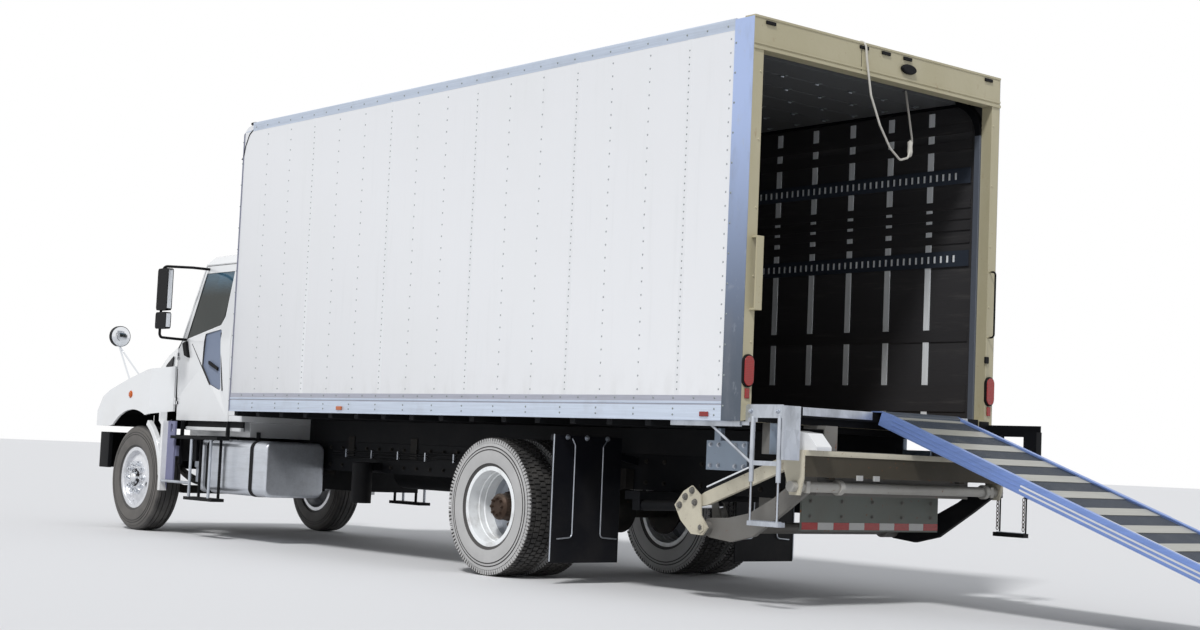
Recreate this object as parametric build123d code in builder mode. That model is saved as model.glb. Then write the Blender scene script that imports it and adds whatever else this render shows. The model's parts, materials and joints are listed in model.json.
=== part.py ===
from build123d import *
import os
from math import asin, cos, pi, sin, tan

# Box truck with a 22 ft dry freight body, a walk ramp at its sill and a stowed tail lift.
# Millimetres. +X points to the front, +Y to the truck's left side, +Z up, and the floor is Z = 0.

# Dry freight body
box_rear = -2899.5
box_length = 6706
box_width = 2591
box_top = 3870
floor_top = 1308
floor_thickness = 46
side_wall = 50
front_wall = 50
roof_wall = 40
rail_proud = 5
bottom_rail = (1204, 1370)
top_rail_height = 80
sill_height = 100
sill_pitch = 406
corner_radius = 45
wrap_width = 180
wrap_wall = 3
cap_reach = 196
cap_drop = 70
cap_radius = 100
cap_wall = 40

# Rear door frame, its tracks and the raised roller door
frame_depth = 90
post_width = 92
header_height = 225
door_panel_length = 300
door_panel_gap = 8
door_panel_count = 8
door_panel_wall = 25
track_width = 55
track_depth = 50
track_bend = 300
track_drop = 135

# Chassis
rear_axle_offset = 2754
front_axle_ahead = 597
chassis_width = 860
chassis_top = 968
rail_height = 268
rail_flange = 80
rail_wall = 9
chassis_rear_offset = 100
chassis_front_reach = 700

# Wheels
tyre_radius = 522.5
tyre_width = 280
bead_radius = 287
front_tyre_outer = 1200
rear_tyre_outer = 1220
dual_spacing = 335
spindle_radius = 45
running_gap = 0.3
kingpin_y = 940
arch_radius = 680

# Cab
cab_gap = 94
cab_length = 1300
cab_width = 2200
cab_floor_z = 1110
cab_belt_z = 1880
cab_roof_z = 2640
cab_crown_z = 2790
cab_wall = 60
door_rear_offset = 260
door_gap = 6
glass_wall = 6

# Hood and fenders
hood_gap = 30
hood_wall = 22
fender_width = 2500
hood_length = 1390
hood_hinge_z = 985
hood_pin_radius = 10
hood_ear_y = (430, 446)

# Front bumper
bumper_z = (605, 968)
bumper_half_width = 1220
bumper_wall = 45

# Tank and steps
tank_length = 1260
tank_y = (470, 1100)
tank_z = (430, 940)
tank_radius = 80
step_y = (1112, 1245)

# Tail lift: pivots and pins as (ahead of the body's rear, height)
lever_pivot = (600, 490)
lift_tube = (-250, 800)
link_offset = (70, 165)
lever_y = (930, 965)
link_y = (980, 1012)
end_plate_y = (1020, 1035)
platform_half_width = 780
closing_half_width = 870
cylinder_y = 840
cylinder_base = (1450, 600)
cylinder_eye = (641, 634)
cylinder_radius = 38

# Walk ramp
ramp_length = 3960
ramp_width = 810
ramp_centre_y = -345
ramp_depth = 100
ramp_rail_wall = 40
ramp_deck_wall = 8
ramp_hook_wall = 10
sill_plate_top = 1317
sill_plate_reach = 70

# Stations worked out from the sizes above
box_front = box_rear + box_length
half_box = box_width / 2
top_rail = (box_top - top_rail_height, box_top)
header_bottom = box_top - header_height
track_top = box_top - track_drop
cap_top = box_top - cap_drop
cap_rear = box_front - cap_reach
wall_inner_y = half_box - rail_proud - side_wall
wall_outer_y = half_box - rail_proud
cab_rear = box_front + cab_gap
cab_front = cab_rear + cab_length
rear_axle_x = box_rear + rear_axle_offset
front_axle_x = cab_front + front_axle_ahead
axle_z = tyre_radius
front_tyre_y = front_tyre_outer - tyre_width / 2
rear_tyre_y = rear_tyre_outer - tyre_width / 2
rail_y = chassis_width / 2
chassis_bottom = chassis_top - rail_height
chassis_rear = box_rear + chassis_rear_offset
chassis_front = front_axle_x + chassis_front_reach
door_rear = cab_rear + door_rear_offset
hood_rear = cab_front + hood_gap
half_cab = cab_width / 2
nose_front = hood_rear + hood_length
hood_hinge_x = nose_front - 20
half_fender = fender_width / 2
sill_z = floor_top - floor_thickness - sill_height


def block(x, y, z, mode=Mode.ADD):
    """Box between two corners, each side given as (low, high)."""
    with Locations(((x[0] + x[1]) / 2, (y[0] + y[1]) / 2, (z[0] + z[1]) / 2)):
        Box(x[1] - x[0], y[1] - y[0], z[1] - z[0], mode=mode)


def side_plate(outline, y, mode=Mode.ADD, radius=0):
    """Outline in (x, z) seen from the side, as thick as y = (low, high)."""
    with BuildSketch(Plane.XZ.offset(-y[1])) as seen_from_side:
        with BuildLine():
            Polyline(*outline, close=True)
        make_face()
        if radius:
            fillet(seen_from_side.vertices(), radius)
    extrude(seen_from_side.sketch, amount=y[1] - y[0], mode=mode)


def cross_plate(outline, x, mode=Mode.ADD, radius=0):
    """Outline in (y, z) seen from behind, as long as x = (low, high)."""
    with BuildSketch(Plane.YZ.offset(x[0])) as seen_from_behind:
        with BuildLine():
            Polyline(*outline, close=True)
        make_face()
        if radius:
            fillet(seen_from_behind.vertices(), radius)
    extrude(seen_from_behind.sketch, amount=x[1] - x[0], mode=mode)


def cross_tube(x, z, radius, y, mode=Mode.ADD):
    """Round bar along Y at (x, z), from y[0] to y[1]."""
    with BuildSketch(Plane.XZ.offset(-y[1])) as round_section:
        with Locations((x, z)):
            Circle(radius)
    extrude(round_section.sketch, amount=y[1] - y[0], mode=mode)


def bar(points, radius, bend):
    """Round bar bent along a route of points."""
    with BuildLine() as route:
        if len(points) > 2:
            FilletPolyline(*points, radius=bend)
        else:
            Line(*points)
    with BuildSketch(Plane(route.line @ 0, z_dir=route.line % 0)) as round_section:
        Circle(radius)
    sweep(round_section.sketch, path=route.line)


def turned(x, profile, mode=Mode.ADD):
    """Profile of (y, radius) points turned about the axle line at station x."""
    with BuildSketch(Plane((x, 0, axle_z), x_dir=(0, 1, 0), z_dir=(1, 0, 0))) as half_section:
        with BuildLine():
            Polyline(*profile, close=True)
        make_face()
    revolve(half_section.sketch, axis=Axis((x, 0, axle_z), (0, 1, 0)), mode=mode)


pieces = {}


def finish(name, part):
    """Labels a finished piece and keeps it for export."""
    part.label = name
    pieces[name] = part


# Chassis: two channel rails, and the crossmembers between their webs
crossmember_offsets = (200, 1850, 3200, 4600, 5950, 9100)
crossmember_width = 70
crossmember_z = (830, 938)
with BuildPart() as chassis_rails:
    cross_plate([(rail_y, chassis_top), (rail_y - rail_flange, chassis_top),
                 (rail_y - rail_flange, chassis_top - rail_wall), (rail_y - rail_wall, chassis_top - rail_wall),
                 (rail_y - rail_wall, chassis_bottom + rail_wall),
                 (rail_y - rail_flange, chassis_bottom + rail_wall),
                 (rail_y - rail_flange, chassis_bottom), (rail_y, chassis_bottom)],
                (chassis_rear, chassis_front))
    mirror(about=Plane.XZ)
finish("chassis_rails", chassis_rails.part)

with BuildPart() as crossmembers:
    for offset in crossmember_offsets:
        block((chassis_rear + offset - crossmember_width / 2, chassis_rear + offset + crossmember_width / 2),
              (rail_wall - rail_y, rail_y - rail_wall), crossmember_z)
finish("crossmembers", crossmembers.part)

# Bracket on each rail's front end: a tow eye below the bumper, and an ear with the hood's hinge pin
tow_eye_radius = 20
tow_eye_wall = 30
tow_eye_x = front_axle_x + 860
tow_eye_z = 535
tow_eye_y = (rail_y, rail_y + 26)
hood_ear_root = chassis_front - 140
with BuildPart() as front_brackets:
    tow_plate = [(hood_ear_root, chassis_top - 40), (hood_ear_root, chassis_bottom),
                 (tow_eye_x - tow_eye_radius - tow_eye_wall, tow_eye_z - tow_eye_wall),
                 (tow_eye_x, tow_eye_z - tow_eye_radius - tow_eye_wall),
                 (tow_eye_x + tow_eye_radius + tow_eye_wall, tow_eye_z - tow_eye_wall),
                 (tow_eye_x + tow_eye_radius + tow_eye_wall, tow_eye_z + tow_eye_wall),
                 (chassis_front, chassis_bottom + 60), (chassis_front, chassis_top - 80)]
    side_plate(tow_plate, tow_eye_y, radius=12)
    cross_tube(tow_eye_x, tow_eye_z, tow_eye_radius, (tow_eye_y[0] - 5, tow_eye_y[1] + 5), Mode.SUBTRACT)
    side_plate([(hood_ear_root, chassis_top - 120), (chassis_front - 20, chassis_top - 120),
                (hood_hinge_x + 24, hood_hinge_z - 15), (hood_hinge_x + 10, hood_hinge_z + 22),
                (hood_ear_root, chassis_top - 40)], hood_ear_y)
    cross_tube(hood_hinge_x, hood_hinge_z, hood_pin_radius, (hood_ear_y[0] - 30, hood_ear_y[1]))
    mirror(about=Plane.XZ)
finish("front_brackets", front_brackets.part)

# Axles and drive shaft: the drive axle's banjo housing, its shaft, and the dropped beam in front
axle_tube_radius = 68
banjo_radius = 190
backing_plate_y = 600
spindle_end_rear = 995
beam_drop = 110
boss_radius = 42
boss_half_height = 60
shaft_radius = 55
kingpin_radius = 20
with BuildPart() as axles:
    turned(rear_axle_x, [(-backing_plate_y, 0), (-backing_plate_y, axle_tube_radius),
                         (-230, axle_tube_radius), (-120, banjo_radius), (120, banjo_radius),
                         (230, axle_tube_radius), (backing_plate_y, axle_tube_radius),
                         (backing_plate_y, 0)])
    for side in (-1, 1):
        turned(rear_axle_x, [(side * (backing_plate_y - 12), 0), (side * (backing_plate_y - 12), 200),
                             (side * backing_plate_y, 200), (side * backing_plate_y, 0)])
        turned(rear_axle_x, [(side * backing_plate_y, 0), (side * backing_plate_y, spindle_radius),
                             (side * spindle_end_rear, spindle_radius), (side * spindle_end_rear, 0)])
    with Locations(Location((rear_axle_x + 200, 0, axle_z + 10), (0, 90, 0))):
        Cone(120, 70, 220)
    bar([(rear_axle_x + 300, 0, axle_z + 15), (rear_axle_x + 2300, 0, chassis_bottom + 60),
         (cab_rear + 326, 0, chassis_bottom + 70)], shaft_radius, 3000)
    # Dropped front beam with a boss at each kingpin
    beam_top = axle_z - beam_drop + 45
    beam = [(-kingpin_y, axle_z + 35), (-kingpin_y, axle_z - 35), (-650, axle_z - beam_drop - 35),
            (650, axle_z - beam_drop - 35), (kingpin_y, axle_z - 35), (kingpin_y, axle_z + 35),
            (650, beam_top), (-650, beam_top)]
    cross_plate(beam, (front_axle_x - 45, front_axle_x + 45))
    with Locations((front_axle_x, kingpin_y, axle_z), (front_axle_x, -kingpin_y, axle_z)):
        Cylinder(boss_radius, 2 * boss_half_height)
        Cylinder(kingpin_radius + running_gap, 2 * boss_half_height + 20, mode=Mode.SUBTRACT)
finish("axles", axles.part)

# Leaf springs, each a bowed pack with a hanger at both ends
# columns: station, y low, y high, half length, z at the middle, z at the ends, hanger top
spring_table = (
    (rear_axle_x, rail_y, rail_y + 80, 720, axle_z + axle_tube_radius + running_gap, chassis_bottom + 20,
     chassis_bottom + 150),
    (front_axle_x, rail_y - 80, rail_y, 600, beam_top + running_gap, chassis_bottom - 75, chassis_bottom),
)
spring_pack = 62
spring_end = 22
with BuildPart() as leaf_springs:
    for x, y_low, y_high, reach, z_middle, z_end, hanger_top in spring_table:
        with BuildSketch(Plane.XZ.offset(-y_high)):
            with BuildLine():
                ThreePointArc((x - reach, z_end), (x, z_middle), (x + reach, z_end))
                Line((x + reach, z_end), (x + reach, z_end + spring_end))
                ThreePointArc((x + reach, z_end + spring_end), (x, z_middle + spring_pack),
                              (x - reach, z_end + spring_end))
                Line((x - reach, z_end + spring_end), (x - reach, z_end))
            make_face()
        extrude(amount=y_high - y_low)
        for end in (-1, 1):
            block((x + end * reach - 45, x + end * reach + 45), (y_low, y_high), (z_end - 20, hanger_top))
    mirror(about=Plane.XZ)
finish("leaf_springs", leaf_springs.part)

# Engine and gearbox as one plain block between the rails
mount_width = 90
with BuildPart() as engine_block:
    block((cab_front + 15, cab_front + 900), (-330, 330), (chassis_bottom + 60, 1500))
    # Feet seated in the rails' channels
    for side in (-1, 1):
        block((cab_front + 200, cab_front + 200 + mount_width),
              sorted((side * 330, side * (rail_y - rail_wall))), (chassis_top - 60, chassis_top - rail_wall))
    block((cab_rear + 330, cab_front + 15), (-190, 190), (chassis_bottom - 60, chassis_top + 40))
finish("engine_block", engine_block.part)

# Fuel tank: rounded barrel with two straps round it, their brackets on the rail and a filler cap
tank_rear = cab_rear - 510
tank_end_radius = 30
strap_wall = 5
strap_width = 60
strap_offsets = (220, 1040)
filler_offset = 880
filler_radius = 55
tank_middle = ((tank_y[0] + tank_y[1]) / 2, (tank_z[0] + tank_z[1]) / 2)
tank_size = (tank_y[1] - tank_y[0], tank_z[1] - tank_z[0])
with BuildPart() as fuel_tank:
    with BuildSketch(Plane.YZ.offset(tank_rear)):
        with Locations(tank_middle):
            RectangleRounded(*tank_size, tank_radius)
    extrude(amount=tank_length)
    end_faces = fuel_tank.faces().sort_by(Axis.X)
    fillet(end_faces[0].edges() + end_faces[-1].edges(), tank_end_radius)
    for offset in strap_offsets:
        with BuildSketch(Plane.YZ.offset(tank_rear + offset)):
            with Locations(tank_middle):
                RectangleRounded(tank_size[0] + 2 * strap_wall, tank_size[1] + 2 * strap_wall,
                                 tank_radius + strap_wall)
        extrude(amount=strap_width)
        block((tank_rear + offset, tank_rear + offset + strap_width), (rail_y, tank_y[0] + tank_radius / 4),
              (tank_z[0] + 120, chassis_top - 20))
    with Locations((tank_rear + filler_offset, tank_y[1] - 150, tank_z[1])):
        Cylinder(filler_radius, filler_radius)
finish("fuel_tank", fuel_tank.part)

# Air dryer at the left, exhaust canister at the right, each hung on the rail
dryer_offset = 5450
dryer_radius = 90
dryer_z = (430, 790)
canister_offset = 6050
canister_radius = 165
canister_length = 1150
canister_z = 700
canister_y = rail_y + 260
with BuildPart() as underframe_canisters:
    with Locations((box_rear + dryer_offset, rail_y + 170, (dryer_z[0] + dryer_z[1]) / 2)):
        Cylinder(dryer_radius, dryer_z[1] - dryer_z[0])
    block((box_rear + dryer_offset - 50, box_rear + dryer_offset + 50), (rail_y, rail_y + 100),
          (dryer_z[1] - 70, dryer_z[1]))
    with Locations(Location((box_rear + canister_offset, -canister_y, canister_z), (0, 90, 0))):
        Cylinder(canister_radius, canister_length)
    for offset in (canister_offset - 350, canister_offset + 300):
        block((box_rear + offset, box_rear + offset + 60), (-(rail_y + 120), -rail_y),
              (canister_z - 20, canister_z + canister_radius - 5))
finish("underframe_canisters", underframe_canisters.part)

# Cab steps: an upper and a lower tread each side, on hangers and two posts, with a bar to the skirt
step_low = cab_rear + 150
step_high = cab_rear + 1070
step_wall = 30
upper_tread_z = 960
lower_tread = (cab_rear + 190, cab_rear + 740, 385)
hanger_wall = 25
hanger_y = (step_y[0], step_y[0] + 30)
post_radius = 14
post_y = step_y[1] - post_radius
post_stations = (cab_rear + 280, cab_rear + 660)
skirt_bar_z = 515
skirt_band = 45
skirt_front = front_axle_x - 627
with BuildPart() as cab_steps:
    block((step_low, step_high), step_y, (upper_tread_z - step_wall, upper_tread_z))
    block((lower_tread[0], lower_tread[1]), step_y, (lower_tread[2] - step_wall, lower_tread[2]))
    for x_hanger in (step_low, step_high - hanger_wall):
        block((x_hanger, x_hanger + hanger_wall), hanger_y, (upper_tread_z, cab_floor_z))
    for x_post in post_stations:
        bar([(x_post, post_y, lower_tread[2] - step_wall / 2), (x_post, post_y, upper_tread_z - step_wall / 2)],
            post_radius, 0)
        bar([(x_post, hanger_y[0] + post_radius, lower_tread[2] - step_wall / 2),
             (x_post, hanger_y[0] + post_radius, upper_tread_z - step_wall / 2)], post_radius, 0)
    bar([(post_stations[1], post_y, skirt_bar_z), (skirt_front - skirt_band, post_y, skirt_bar_z)], post_radius, 0)
    block((step_high - hanger_wall, step_high), hanger_y, (680, upper_tread_z))
    mirror(about=Plane.XZ)
    # Battery box behind the right steps
    block((cab_rear + 230, cab_rear + 1060), (-step_y[0], -tank_y[0]), (480, 900))
    for x_hanger in (cab_rear + 300, cab_rear + 1000):
        block((x_hanger, x_hanger + 60), (-tank_y[0], -rail_y), (chassis_bottom + 20, 880))
    # Bracket from the left steps to the rail in front of the tank
    x_bracket = tank_rear + tank_length + 30
    block((x_bracket, x_bracket + 60), (rail_y, step_y[0]), (720, 900))
    block((x_bracket, x_bracket + 60), (step_y[0] - 20, step_y[0]), (720, upper_tread_z))
    block((x_bracket, x_bracket + 60), (step_y[0] - 20, step_y[0] + 20),
          (upper_tread_z - step_wall, upper_tread_z))
finish("cab_steps", cab_steps.part)

# Front bumper: a bowed steel channel with swept corners, open behind
bumper_front = front_axle_x + 953
bumper_corner_x = front_axle_x + 793
bumper_back = front_axle_x + 553
with BuildPart() as front_bumper:
    with BuildSketch(Plane.XY.offset(bumper_z[0])):
        with BuildLine() as bumper_line:
            Line((bumper_back, bumper_half_width), (bumper_corner_x - 60, bumper_half_width))
            ThreePointArc((bumper_corner_x - 60, bumper_half_width),
                          (bumper_corner_x - 5, bumper_half_width - 25),
                          (bumper_corner_x + 20, bumper_half_width - 90))
            ThreePointArc((bumper_corner_x + 20, bumper_half_width - 90), (bumper_front, 0),
                          (bumper_corner_x + 20, 90 - bumper_half_width))
            ThreePointArc((bumper_corner_x + 20, 90 - bumper_half_width),
                          (bumper_corner_x - 5, 25 - bumper_half_width),
                          (bumper_corner_x - 60, -bumper_half_width))
            Line((bumper_corner_x - 60, -bumper_half_width), (bumper_back, -bumper_half_width))
            Line((bumper_back, -bumper_half_width), (bumper_back, bumper_wall - bumper_half_width))
            Line((bumper_back, bumper_wall - bumper_half_width),
                 (bumper_corner_x - 60, bumper_wall - bumper_half_width))
            Line((bumper_corner_x - 60, bumper_wall - bumper_half_width),
                 (bumper_corner_x - 20, 120 - bumper_half_width))
            ThreePointArc((bumper_corner_x - 20, 120 - bumper_half_width), (bumper_front - bumper_wall, 0),
                          (bumper_corner_x - 20, bumper_half_width - 120))
            Line((bumper_corner_x - 20, bumper_half_width - 120),
                 (bumper_corner_x - 60, bumper_half_width - bumper_wall))
            Line((bumper_corner_x - 60, bumper_half_width - bumper_wall),
                 (bumper_back, bumper_half_width - bumper_wall))
            Line((bumper_back, bumper_half_width - bumper_wall), (bumper_back, bumper_half_width))
        make_face()
    extrude(amount=bumper_z[1] - bumper_z[0])
    # Arm from each rail's bracket to the back of the bumper's face
    for side in (-1, 1):
        block((chassis_front - 100, bumper_front - bumper_wall),
              sorted((side * tow_eye_y[1], side * (tow_eye_y[1] + 20))), (bumper_z[0] + 120, bumper_z[1] - 60))
finish("front_bumper", front_bumper.part)

# Cab form: plan outlines at rising heights, ruled from one to the next
# columns: z, rear inset, half width, front at the sides, front at the middle
cab_levels = (
    (cab_floor_z, 0, half_cab - 20, cab_front, cab_front),
    (cab_belt_z - 60, 0, half_cab, cab_front, cab_front),
    (cab_belt_z, 0, half_cab, cab_front - 60, cab_front + 110),
    (cab_roof_z, 40, half_cab - 90, cab_front - 320, cab_front - 180),
    (cab_roof_z + 75, 75, half_cab - 140, cab_front - 400, cab_front - 270),
    (cab_crown_z, 260, half_cab - 420, cab_front - 640, cab_front - 560),
)


def cab_form(inset):
    """The cab's outer form drawn in by an inset."""
    last = len(cab_levels) - 1
    with BuildPart() as form:
        for level, (z, rear, half, side_front, middle_front) in enumerate(cab_levels):
            height = z + inset if level == 0 else z - inset if level == last else z
            x_low, y = cab_rear + rear + inset, half - inset
            with BuildSketch(Plane.XY.offset(height)):
                with BuildLine():
                    Line((side_front - inset, -y), (x_low, -y))
                    Line((x_low, -y), (x_low, y))
                    Line((x_low, y), (side_front - inset, y))
                    ThreePointArc((side_front - inset, y), (middle_front - inset + 0.5, 0),
                                  (side_front - inset, -y))
                make_face()
        loft(ruled=True)
    return form.part


cab_outer = cab_form(0)
cab_inner = cab_form(cab_wall)
glass_outer = cab_form(glass_wall)
glass_inner = cab_form(2 * glass_wall)

# Door and window outlines in (x, z)
door_front = cab_front - 12
door_top = cab_roof_z - 20
door_outline = [(door_rear, cab_floor_z), (door_front, cab_floor_z), (door_front, cab_belt_z - 80),
                (cab_front - 105, cab_belt_z + 30), (cab_front - 345, door_top), (door_rear + 60, door_top),
                (door_rear, door_top - 60)]
window_outline = [(cab_front - 165, cab_belt_z + 25), (cab_front - 361, cab_roof_z - 90),
                  (door_rear + 130, cab_roof_z - 90), (door_rear + 170, cab_belt_z + 230),
                  (door_rear + 230, cab_belt_z + 150)]
windshield_outline = [(-930, cab_belt_z + 45), (930, cab_belt_z + 45), (850, cab_roof_z - 60),
                      (-850, cab_roof_z - 60)]
rear_window_outline = [(-560, cab_belt_z + 120), (560, cab_belt_z + 120), (560, cab_roof_z - 140),
                       (-560, cab_roof_z - 140)]
door_cut = [(door_rear - door_gap, cab_floor_z - 5), (cab_front + 20, cab_floor_z - 5),
            (cab_front + 20, cab_belt_z - 80), (cab_front - 105 + door_gap, cab_belt_z + 30),
            (cab_front - 345 + door_gap, door_top + door_gap), (door_rear + 60, door_top + door_gap),
            (door_rear - door_gap, door_top - 60)]
cab_back_split = cab_rear + 40 + cab_wall + 8
cab_floor_split = cab_floor_z + cab_wall
cab_roof_split = cab_roof_z - 10
cab_high = cab_crown_z + 50
cab_wide = half_cab + 50
cab_long = cab_front + 300

# The zone of a door in the leaning wall, in (y, z)
zone_depth = cab_wall + 5
door_zone = [(half_cab - 20 - zone_depth, cab_floor_z - 50), (cab_wide, cab_floor_z - 50), (cab_wide, cab_high),
             (half_cab - 90 - zone_depth, cab_high), (half_cab - 90 - zone_depth, cab_roof_z),
             (half_cab - zone_depth, cab_belt_z)]
with BuildPart() as left_zone:
    cross_plate(door_zone, (cab_rear, cab_long))
with BuildPart() as door_zones:
    add(left_zone.part)
    mirror(about=Plane.XZ)
with BuildPart() as door_cutter:
    add(door_zones.part)
    side_plate(door_cut, (-cab_wide, cab_wide), Mode.INTERSECT)

with BuildPart() as cab_skin:
    add(cab_outer)
    add(cab_inner, mode=Mode.SUBTRACT)
    add(door_cutter.part, mode=Mode.SUBTRACT)
    cross_plate(windshield_outline, (cab_rear + 400, cab_long), Mode.SUBTRACT, 60)
    cross_plate(rear_window_outline, (cab_rear - 50, cab_rear + 300), Mode.SUBTRACT, 60)

with BuildPart() as cab_floor:
    add(cab_skin.part)
    block((cab_rear - 50, cab_long), (-cab_wide, cab_wide), (cab_floor_z - 50, cab_floor_split), Mode.INTERSECT)
    block((cab_rear + 60, cab_front - 60), (-half_cab + 150, half_cab - 150), (chassis_top, cab_floor_z))
    block((cab_rear + 300, cab_front + 90), (-400, 400), (chassis_top - 5, cab_floor_z), Mode.SUBTRACT)
finish("cab_floor", cab_floor.part)

with BuildPart() as cab_rear_wall:
    add(cab_skin.part)
    block((cab_rear - 50, cab_back_split), (-cab_wide, cab_wide), (cab_floor_split, cab_roof_split),
          Mode.INTERSECT)
finish("cab_rear_wall", cab_rear_wall.part)

with BuildPart() as cab_roof:
    add(cab_skin.part)
    block((cab_rear - 50, cab_long), (-cab_wide, cab_wide), (cab_roof_split, cab_high), Mode.INTERSECT)
finish("cab_roof", cab_roof.part)

# Door hinges: a knuckle on the frame over a knuckle on the door
hinge_x = cab_front - 12
hinge_y = half_cab + 2
hinge_radius = 12
hinge_length = 30
hinge_heights = (1300, 1740)
with BuildPart() as cab_front_frame:
    add(cab_skin.part)
    block((cab_back_split, cab_long), (-cab_wide, cab_wide), (cab_floor_split, cab_roof_split),
          Mode.INTERSECT)
    for side in (-1, 1):
        for z_hinge in hinge_heights:
            with Locations((hinge_x, side * hinge_y, z_hinge + hinge_length / 2)):
                Cylinder(hinge_radius, hinge_length)
            block((hinge_x + 6, hinge_x + 18), sorted((side * (half_cab - 100), side * hinge_y)),
                  (z_hinge, z_hinge + hinge_length))
finish("cab_front_frame", cab_front_frame.part)

with BuildPart() as glass_sheet:
    add(glass_outer)
    add(glass_inner, mode=Mode.SUBTRACT)

with BuildPart() as windshield:
    add(glass_sheet.part)
    cross_plate(windshield_outline, (cab_rear + 400, cab_long), Mode.INTERSECT, 60)
with BuildPart() as rear_window:
    add(glass_sheet.part)
    cross_plate(rear_window_outline, (cab_rear - 50, cab_rear + 300), Mode.INTERSECT, 60)
with BuildPart() as cab_glass:
    add(windshield.part)
    add(rear_window.part)
finish("cab_glass", cab_glass.part)

arm_radius = 13
arm_top_z = cab_roof_z - 50
arm_low_z = cab_belt_z + 20


def arm_seat(z):
    """How far out a mirror arm starts to rest on the leaning door at this height."""
    lean = 90 / (cab_roof_z - cab_belt_z)
    return half_cab - lean * (z - arm_radius - cab_belt_z) + running_gap


scoop_outline = [(cab_front - 530, cab_belt_z + 70), (cab_front - 500, 1640), (cab_front - 670, 1460),
                 (cab_front - 840, 1410), (cab_front - 880, 1410), (cab_front - 840, cab_belt_z + 110)]
scoop_y = half_cab - 20
for side, name in ((1, "left"), (-1, "right")):
    y_range = (0, cab_wide) if side > 0 else (-cab_wide, 0)
    with BuildPart() as cab_door:
        add(cab_outer)
        add(cab_inner, mode=Mode.SUBTRACT)
        add(door_zones.part, mode=Mode.INTERSECT)
        side_plate(door_outline, y_range, Mode.INTERSECT)
        side_plate(window_outline, y_range, Mode.SUBTRACT)
        side_plate(scoop_outline, sorted((side * scoop_y, side * cab_wide)), Mode.SUBTRACT, 25)
        for z_hinge in hinge_heights:
            with Locations((hinge_x, side * hinge_y, z_hinge + hinge_length / 2)):
                Cylinder(hinge_radius + 5, hinge_length + 10, mode=Mode.SUBTRACT)
            with Locations((hinge_x, side * hinge_y, z_hinge - 5 - hinge_length / 2)):
                Cylinder(hinge_radius, hinge_length)
            block((hinge_x - 30, hinge_x), sorted((side * (half_cab - 30), side * hinge_y)),
                  (z_hinge - 5 - hinge_length, z_hinge - 5))
    finish("door_" + name, cab_door.part)
    with BuildPart() as door_glass:
        add(glass_sheet.part)
        side_plate(window_outline, y_range, Mode.INTERSECT)
        block((cab_rear, cab_long), (-half_cab + 200, half_cab - 200), (0, cab_high), Mode.SUBTRACT)
    finish("door_glass_" + name, door_glass.part)
    # Mirror arms and heads on the door
    with BuildPart() as door_mirror:
        arm = [(cab_front - 400, side * arm_seat(arm_top_z), arm_top_z),
               (cab_front - 400, side * (half_cab + 100), arm_top_z),
               (cab_front - 240, side * 1430, arm_top_z), (cab_front - 240, side * 1430, arm_low_z),
               (cab_front - 160, side * (half_cab + 100), arm_low_z),
               (cab_front - 160, side * arm_seat(arm_low_z), arm_low_z)]
        bar(arm, arm_radius, 40)
        y_head = sorted((side * 1400, side * 1460))
        for z_low, z_high in ((2158, 2564), (1980, 2140)):
            side_plate([(cab_front - 400, z_low), (cab_front - 190, z_low), (cab_front - 190, z_high),
                        (cab_front - 400, z_high)], y_head, radius=28)
    finish("mirror_" + name, door_mirror.part)

# Cab inside: dash with steering column, two seats
wheel_centre = Vector(cab_front - 430, 520, 1790)
wheel_tilt = Vector(-170, 0, 140).normalized()
with BuildPart() as dashboard:
    side_plate([(cab_front - 350, 1480), (cab_front - cab_wall, 1480), (cab_front - cab_wall, 1800),
                (cab_front - 200, 1860), (cab_front - 380, 1800)], (-half_cab + 90, half_cab - 90))
    bar([wheel_centre - wheel_tilt * 170, wheel_centre - wheel_tilt * running_gap], 30, 0)
finish("dashboard", dashboard.part)

with BuildPart() as seats:
    for y_seat in (520, -520):
        block((cab_rear + 200, cab_rear + 700), (y_seat - 260, y_seat + 260), (cab_floor_split + 300, 1600))
        side_plate([(cab_rear + 90, 1600), (cab_rear + 260, 1600), (cab_rear + 200, 2350),
                    (cab_rear + 90, 2350)], (y_seat - 250, y_seat + 250))
        block((cab_rear + 250, cab_rear + 620), (y_seat - 180, y_seat + 180),
              (cab_floor_split, cab_floor_split + 300))
finish("seats", seats.part)

with BuildPart() as steering_wheel:
    with BuildSketch(Plane(wheel_centre, x_dir=(0, 1, 0), z_dir=wheel_tilt)):
        Circle(220)
        Circle(188, mode=Mode.SUBTRACT)
        Rectangle(390, 36)
        Circle(60)
    extrude(amount=28)
finish("steering_wheel", steering_wheel.part)

# Hood: a tapering nose between two fenders, hollow below, with open wheel arches
hood_low = 1030
hood_skirt = 1195
nose_side = [(hood_rear, hood_skirt), (hood_rear, 1830), (hood_rear + 420, 1760), (hood_rear + 900, 1620),
             (nose_front - 60, 1440), (nose_front, 1360), (nose_front, hood_low), (nose_front - 200, hood_low)]
fender_side = [(hood_rear, hood_skirt), (hood_rear, 1640), (hood_rear + 300, 1600), (hood_rear + 700, 1510),
               (hood_rear + 1100, 1400), (hood_rear + 1260, 1330), (nose_front - 20, 1180),
               (nose_front - 20, hood_low), (nose_front - 300, hood_low)]


def inner_outline(outline, inset):
    """A side outline drawn in from above and in front, and run out below and behind."""
    low = min(z for x, z in outline) - 200
    top = [(x - inset, z - inset) for x, z in outline[1:-2]]
    return [(hood_rear - 200, low), (hood_rear - 200, top[0][1])] + top + [(outline[-2][0] - inset, low)]


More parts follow.
